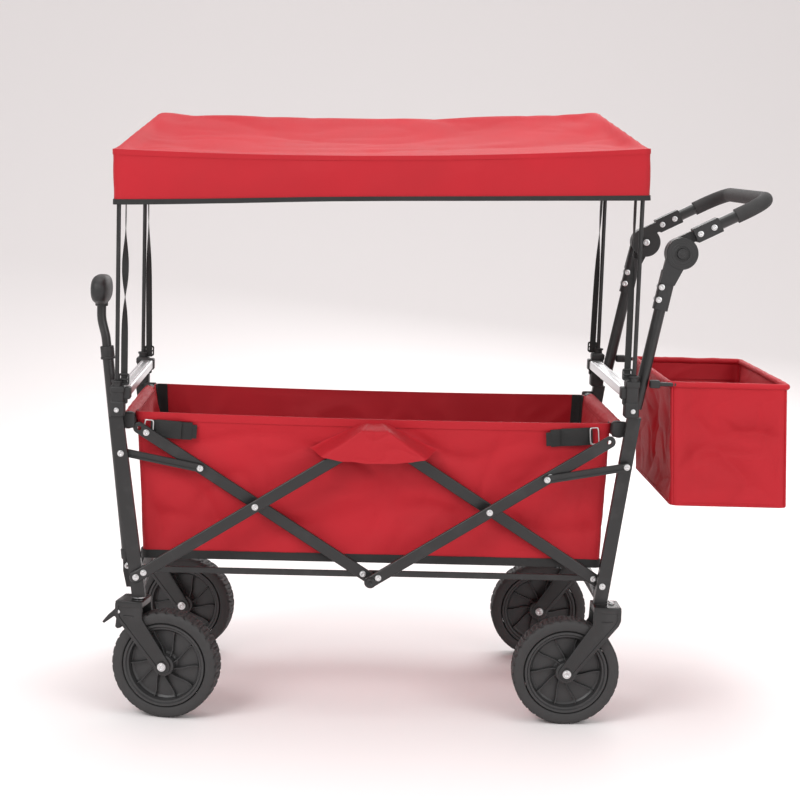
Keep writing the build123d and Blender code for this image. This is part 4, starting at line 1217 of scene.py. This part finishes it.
for end, body, inward in (("front", "front_frame", 1), ("rear", "rear_frame", -1)):
    low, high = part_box(f"{end}_canopy_straps")
    pieces = []
    for sign, turns, lean in ((-1, 1.5 if end == "front" else 0.5, 0.0), (1, 0.5, -0.006 * inward)):
        strap = ribbon("strap", 0.0125, high.z - low.z, 0.0012, (4, 120))
        tall = high.z - low.z
        for point in strap.data.vertices:
            share = point.co.x / tall + 0.5
            twist = math.pi * turns * smooth(share * 1.5 - 0.25) + 0.2 * math.sin(share * 9)
            across = Vector((math.cos(twist), math.sin(twist), 0)) * point.co.y
            across += Vector((-math.sin(twist), math.cos(twist), 0)) * point.co.z
            bow_out = 0.003 * math.sin(math.pi * share)
            point.co = Vector((
                (low.x + high.x) / 2 + across.x + lean * share,
                sign * (high.y - 0.0012) + across.y + sign * bow_out * 0.3,
                low.z + tall * share,
            ))
        take(strap)
        bpy.ops.object.shade_smooth_by_angle(angle=math.radians(60))
        pieces.append(unwrap(strap))
    straps = joined(f"{end}_canopy_webbing", pieces)
    fitted(straps, black_webbing, body)
    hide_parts(f"{end}_canopy_straps")
    buckle_x = (low.x + high.x) / 2
    buckles = []
    for sign in (-1, 1):
        frame_piece = wire_ring("buckle", 0.017, 0.019, 0.003, 0.0016)
        frame_piece.data.transform(Matrix.Rotation(math.pi / 2, 4, "X"))
        frame_piece.data.transform(Matrix.Translation((buckle_x, sign * (high.y + 0.0012), low.z + 0.012)))
        buckles.append(frame_piece)
        bar_at = (buckle_x, sign * (high.y + 0.0012), low.z + 0.012)
        buckles.append(block("bar", (0.017, 0.0026, 0.003), bar_at, 0.0008, 2))
    buckles = joined(f"{end}_strap_buckles", buckles)
    fitted(buckles, moulded, body)


# ---------------------------------------------------------------- Push handle
# Moulded nylon tilt hubs: a lower sleeve that clamps the upright tube, a flat ringed disc, and an upper
# sleeve on the bow's leg, each held by two screws on washers. Foam tube covers the bow's cross part.
tilt_pivot = pivots["push_handle_tilt"]
hub_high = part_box("handle_lower_sleeves")[1]
upper_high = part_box("handle_upper_sleeves")[1]
button_face = -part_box("tilt_button_left")[0].y
hub_w = hub_high.y
sleeve_round = 0.0022
for name in ("handle_lower_sleeves", "handle_upper_sleeves"):
    rounded(nodes[name], sleeve_round, 3, 40)
    dress(moulded, name)


def ringed_disc(name, radius, rings, height, segments=96):
    """A disc on the origin with raised concentric rings, facing +Z."""
    disc = added("cylinder", name, vertices=segments, radius=radius, depth=height, location=(0, 0, height / 2))
    for ring_radius in rings:
        edit(disc, "FACE", lambda f: f.normal.z > 0.99 and f.center.xy.length < 0.001)
        bpy.ops.mesh.inset(thickness=ring_radius)
        bpy.ops.transform.translate(value=(0, 0, -0.0007))
        bpy.ops.mesh.inset(thickness=0.0009)
        bpy.ops.transform.translate(value=(0, 0, 0.0007))
        done(disc)
    return rounded(disc, 0.0003, 2)


faces = []
for sign in (-1, 1):
    disc = ringed_disc("disc", 0.0295, (0.0035, 0.0045, 0.0045), 0.0016)
    faces.append(settle(disc, facing(tilt_pivot + Vector((0, sign * (hub_w - 0.0004), 0)), (0, sign, 0))))
hub_rings = joined("tilt_hub_rings", faces)
edit(hub_rings, "FACE", lambda f: abs(f.normal.y) > 0.9 and (f.center - tilt_pivot).xz.length < 0.009)
bpy.ops.mesh.delete(type="FACE")
done(hub_rings)
fitted(hub_rings, moulded, "rear_frame")
for side, sign in (("left", -1), ("right", 1)):
    cap = ringed_disc(f"tilt_button_cap_{side}", 0.0097, (0.0018, 0.0016), 0.0016, 64)
    settle(cap, facing(tilt_pivot + Vector((0, sign * (button_face - 0.0009), 0)), (0, sign, 0)))
    dress(moulded, cap, f"tilt_button_{side}")
    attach(cap, f"tilt_button_{side}")

handle_lean, handle_rise = math.radians(10.8), math.radians(27)
tube_w = 0.204  # the handle tubes' axes, from the middle
sleeve_offset = 0.019  # the upper sleeve's axis, above the line through the hub
sleeve_foot = Vector((0.4070, 0, 0.8030))
lower_dir = Vector((math.sin(handle_lean), 0, math.cos(handle_lean)))
upper_dir = Vector((math.cos(handle_rise), 0, math.sin(handle_rise)))
upper_up = Vector((-upper_dir.z, 0, upper_dir.x))
lower_spots = [sleeve_foot + lower_dir * step for step in (0.009, 0.033)]
upper_spots = [tilt_pivot + upper_dir * reach + upper_up * sleeve_offset for reach in (0.046, 0.074)]
inner_w = 2 * tube_w - upper_high.y
for name, body, spots, w in (
    ("lower_sleeve_screws", "rear_frame", lower_spots, hub_high.y),
    ("upper_sleeve_screws", "push_handle", upper_spots, upper_high.y),
):
    master = rivet(0.0044, 0.0026)
    places = [m for p in spots for m in both_sides(p.x, w - 0.0002, p.z)]
    places += [
        facing((p.x, sign * inner_w, p.z), (0, -sign, 0)) for p in spots for sign in (-1, 1)
    ]
    screws = scattered(name, master, places)
    fitted(screws, zinc, body)
hub_bolts = scattered("tilt_hub_bolts", rivet(0.0052, 0.003), [
    facing((tilt_pivot.x, sign * 0.186, tilt_pivot.z), (0, -sign, 0)) for sign in (-1, 1)
])
fitted(hub_bolts, zinc, "rear_frame")


def foam_pattern(place, cloth):
    cells = place.noise(520, 3.0, 0.7)
    return {
        "Base_Color": place.noise(40, 3.0).tint((0.022, 0.0215, 0.0215), (0.042, 0.041, 0.041)),
        "Roughness": 0.82 + 0.1 * cells,
        "Normal": cells.bump(0.55, 0.0008),
    }


foam = finish("grip_foam", foam_pattern)
rounded(nodes["handle_grip"], 0.0022, 3, 50)
dress(foam, "handle_grip")


# ---------------------------------------------------------------- Basket
# A red polyester bag that sags from its rod loop: its rim is wrapped over the rod, its edges are piped and
# a hem band lies folded inside along the top of its far panel.
bag_low, bag_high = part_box("basket_bag")
loop_low, loop_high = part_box("basket_rod")
rod_r = (loop_high.z - loop_low.z) / 2
rod_z = (loop_high.z + loop_low.z) / 2
bag_x = (bag_low.x + 0.0012, loop_high.x - rod_r)
bag_mid = (bag_x[0] + bag_x[1]) / 2
bag_half = (bag_x[1] - bag_x[0]) / 2
bag_w = bag_high.y - 0.001
bag_depth = rod_z + rod_r - bag_low.z - 0.001
bag = cloth_box("basket_cloth", (2 * bag_half, 2 * bag_w), (44, 80), bag_depth, 44)
for point in bag.data.vertices:
    flat_x, flat_y, rise = point.co
    share = rise / bag_depth
    x, y = corner_round(flat_x, flat_y, bag_half, bag_w, 0.016)
    to_edge = min(bag_half - abs(x), bag_w - abs(y))
    lean = 0.011 * (1 - share)
    spot = Vector((bag_mid + x + lean, y, bag_low.z + 0.001 + rise))
    if rise < 0.0001:
        spot.z += -0.0008 + 0.0045 * smooth(to_edge / 0.05) * noise.noise(Vector((x * 11, y * 11, 4)))
        spot.z = max(spot.z, bag_low.z + 0.0002)
    else:
        body_part = math.sin(math.pi * min(1.0, share * 1.02)) ** 0.7
        deep = 0.011 * fold(Vector((spot.x, y, spot.z * 1.3)), 6.5, 5.2) + 0.004 * fold(spot, 15, 1.9)
        across = y / bag_w if abs(flat_x) > bag_half - 0.0001 else x / bag_half
        hollow = 0.016 * body_part * (1 - across ** 2)
        off_corner = bag_w - abs(y) if abs(flat_x) > bag_half - 0.0001 else bag_half - abs(x)
        inward = (deep * body_part + hollow * 0.6) * smooth(off_corner / 0.045)
        if abs(flat_x) > bag_half - 0.0001:
            spot.x -= math.copysign(inward, x)
        if abs(flat_y) > bag_w - 0.0001:
            spot.y -= math.copysign(inward, y)
            spot.z -= 0.002 * (1 - (x / bag_half) ** 2) * smooth(share * 4 - 3)
    point.co = spot
bag_top = rod_z + rod_r


def piping(name, points, radius):
    """A round cord of fabric along points."""
    curve = bpy.data.curves.new(name, "CURVE")
    curve.dimensions = "3D"
    curve.bevel_depth = radius
    curve.bevel_resolution = 3
    line = curve.splines.new("POLY")
    line.points.add(len(points) - 1)
    for spot, at_point in zip(points, line.points):
        at_point.co = (*spot, 1)
    cord = bpy.data.objects.new(name, curve)
    bpy.context.scene.collection.objects.link(cord)
    take(cord)
    bpy.ops.object.convert(target="MESH")
    cord = bpy.context.object
    bpy.ops.object.shade_smooth()
    return unwrap(cord)


foot = []
for step in range(121):
    turn = math.tau * step / 120
    cosine, sine = math.cos(turn), math.sin(turn)
    foot.append(Vector((
        bag_mid + 0.011 + math.copysign(abs(cosine) ** 0.16, cosine) * (bag_half - 0.0005),
        math.copysign(abs(sine) ** 0.16, sine) * (bag_w - 0.0005), bag_low.z + 0.0032,
    )))
cords = [piping("basket_foot_piping", foot, 0.0022)]
for sx in (-1, 1):
    for sy in (-1, 1):
        run = [
            Vector((
                bag_mid + 0.011 * (1 - t / 24) + sx * (bag_half - 0.004),
                sy * (bag_w - 0.004),
                bag_low.z + 0.003 + (bag_depth - 0.012) * t / 24,
            ))
            for t in range(25)
        ]
        cords.append(piping("edge_piping", run, 0.002))
bag_piping = joined("basket_piping", cords)
bag_hem = strip_of(
    bag, "basket_inner_hem",
    lambda f: f.center.z > bag_top - 0.042 and abs(f.normal.z) < 0.6 and f.center.y > bag_w - 0.02, 0.0018, -2.2,
)
made_cloth(bag, 0.0012)
wrap_w, wrap_bend, rear_run = bag_w - 0.0024, 0.014, bag_x[1] - bag_x[0] - 0.02
bend_turns = [step * math.pi / 20 for step in range(11)]
rim_path = [(bag_x[0] - 0.0005, -(bag_w - 0.012)), (bag_x[0] + 0.004, -(bag_w - 0.002))]
rim_path += [(bag_x[0] + 0.004 + rear_run * t / 30, -wrap_w) for t in range(31)]
rim_path += [
    (bag_x[1] - wrap_bend * (1 - math.sin(a)), -wrap_w + wrap_bend * (1 - math.cos(a))) for a in bend_turns
]
rim_path += [(bag_x[1], (wrap_w - wrap_bend) * (t / 30 - 1)) for t in range(61)]
rim_path += [
    (bag_x[1] - wrap_bend * (1 - math.cos(a)), wrap_w - wrap_bend + wrap_bend * math.sin(a)) for a in bend_turns
]
rim_path += [(bag_x[1] - 0.016 - rear_run * t / 30, wrap_w) for t in range(31)]
rim_path += [(bag_x[0] - 0.0005, bag_w - 0.012), (bag_x[0] - 0.0005, -(bag_w - 0.012))]
wrap = piping("basket_rim_wrap", [Vector((x, y, rod_z)) for x, y in rim_path], 0.0062)
for point in wrap.data.vertices:
    wobble = 0.0008 * noise.noise(point.co * 40) + 0.0006 * fold(point.co, 22, 3.3)
    point.co += Vector((0, 0, wobble))
for piece in (bag, bag_piping, wrap, bag_hem):
    fitted(piece, red_polyester, "rear_frame")
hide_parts("basket_bag")
2 * bag_half + 2 * bag_depth
2 * bag_w + 2 * bag_depth
hooks = []
for sign in (-1, 1):
    spot = Vector((loop_low.x + 0.010, sign * (loop_high.y - rod_r), rod_z))
    hooks.append(block("hook", (0.02, 0.0135, 0.015), spot, 0.003))
    hooks.append(settle(drum("cap", 0.0062, 0.012, 0.001), facing(spot + Vector((-0.009, 0, 0)), (1, 0, 0))))
basket_hooks = joined("basket_rod_hooks", hooks)
fitted(basket_hooks, moulded, "rear_frame")


# ---------------------------------------------------------------- Pull handle
# A pressed bracket on the low crossbar, a tube with a moulded collar, and an oval moulded grip that's
# seamed down its middle. The real grip is open through; here it is a closed shell.
bracket_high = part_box("pull_handle_bracket")[1]
rounded(nodes["pull_handle_bracket"], 0.0014, 3, 40)
dress(moulded, "pull_handle_bracket")
pull_pivot = pivots["pull_handle_tilt"]
pull_up = Vector(axes["pull_handle_extend"])
bolt_heads = scattered(
    "pull_bracket_bolts", rivet(0.0048, 0.0026), both_sides(pull_pivot.x, bracket_high.y - 0.0026, pull_pivot.z)
)
fitted(bolt_heads, zinc, "front_frame")
collar_at = pull_pivot + pull_up * 0.44
collar = joined("pull_tube_collar", [
    settle(drum("collar", 0.0134, 0.026, 0.0016, 3, 48), facing(collar_at - pull_up * 0.0245, pull_up)),
    settle(drum("collar_lip", 0.0146, 0.005, 0.0012, 3, 48), facing(collar_at - pull_up * 0.0245, pull_up)),
    settle(drum("foot_cap", 0.0132, 0.02, 0.0014, 3, 48), facing(pull_pivot + pull_up * 0.012, pull_up)),
])
fitted(collar, moulded, "pull_handle")
grip_low, grip_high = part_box("pull_handle_grip")
grip_mid = (grip_low + grip_high) / 2
grip_size = grip_high - grip_low
shell = added("uv_sphere", "pull_grip_shell", segments=96, ring_count=48, radius=1)
for point in shell.data.vertices:
    x, y, z = point.co
    power = lambda value, exponent: math.copysign(abs(value) ** exponent, value)
    wide, tall, deep = power(y, 0.62), power(z, 0.78), power(x, 0.62)
    waist = 1 - 0.10 * smooth((-z + 0.1) * 0.9)
    seam = 1 - 0.03 * math.exp(-((y / 0.03) ** 2))
    neck = 1 - 0.35 * smooth((-z - 0.55) / 0.45)
    point.co = grip_mid + Vector((
        deep * grip_size.x / 2 * seam * waist, wide * grip_size.y / 2 * neck * 0.995, tall * grip_size.z / 2 * seam,
    ))
take(shell)
bpy.ops.object.shade_smooth()
neck_at = Matrix.Translation((grip_mid.x, 0, grip_low.z - 0.0035))
neck_ring = settle(drum("neck", 0.0125, 0.012, 0.0015, 3, 48), neck_at)
shell = joined("pull_grip_shell", [shell, neck_ring])
fitted(shell, moulded, "pull_grip")
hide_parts("pull_handle_grip")
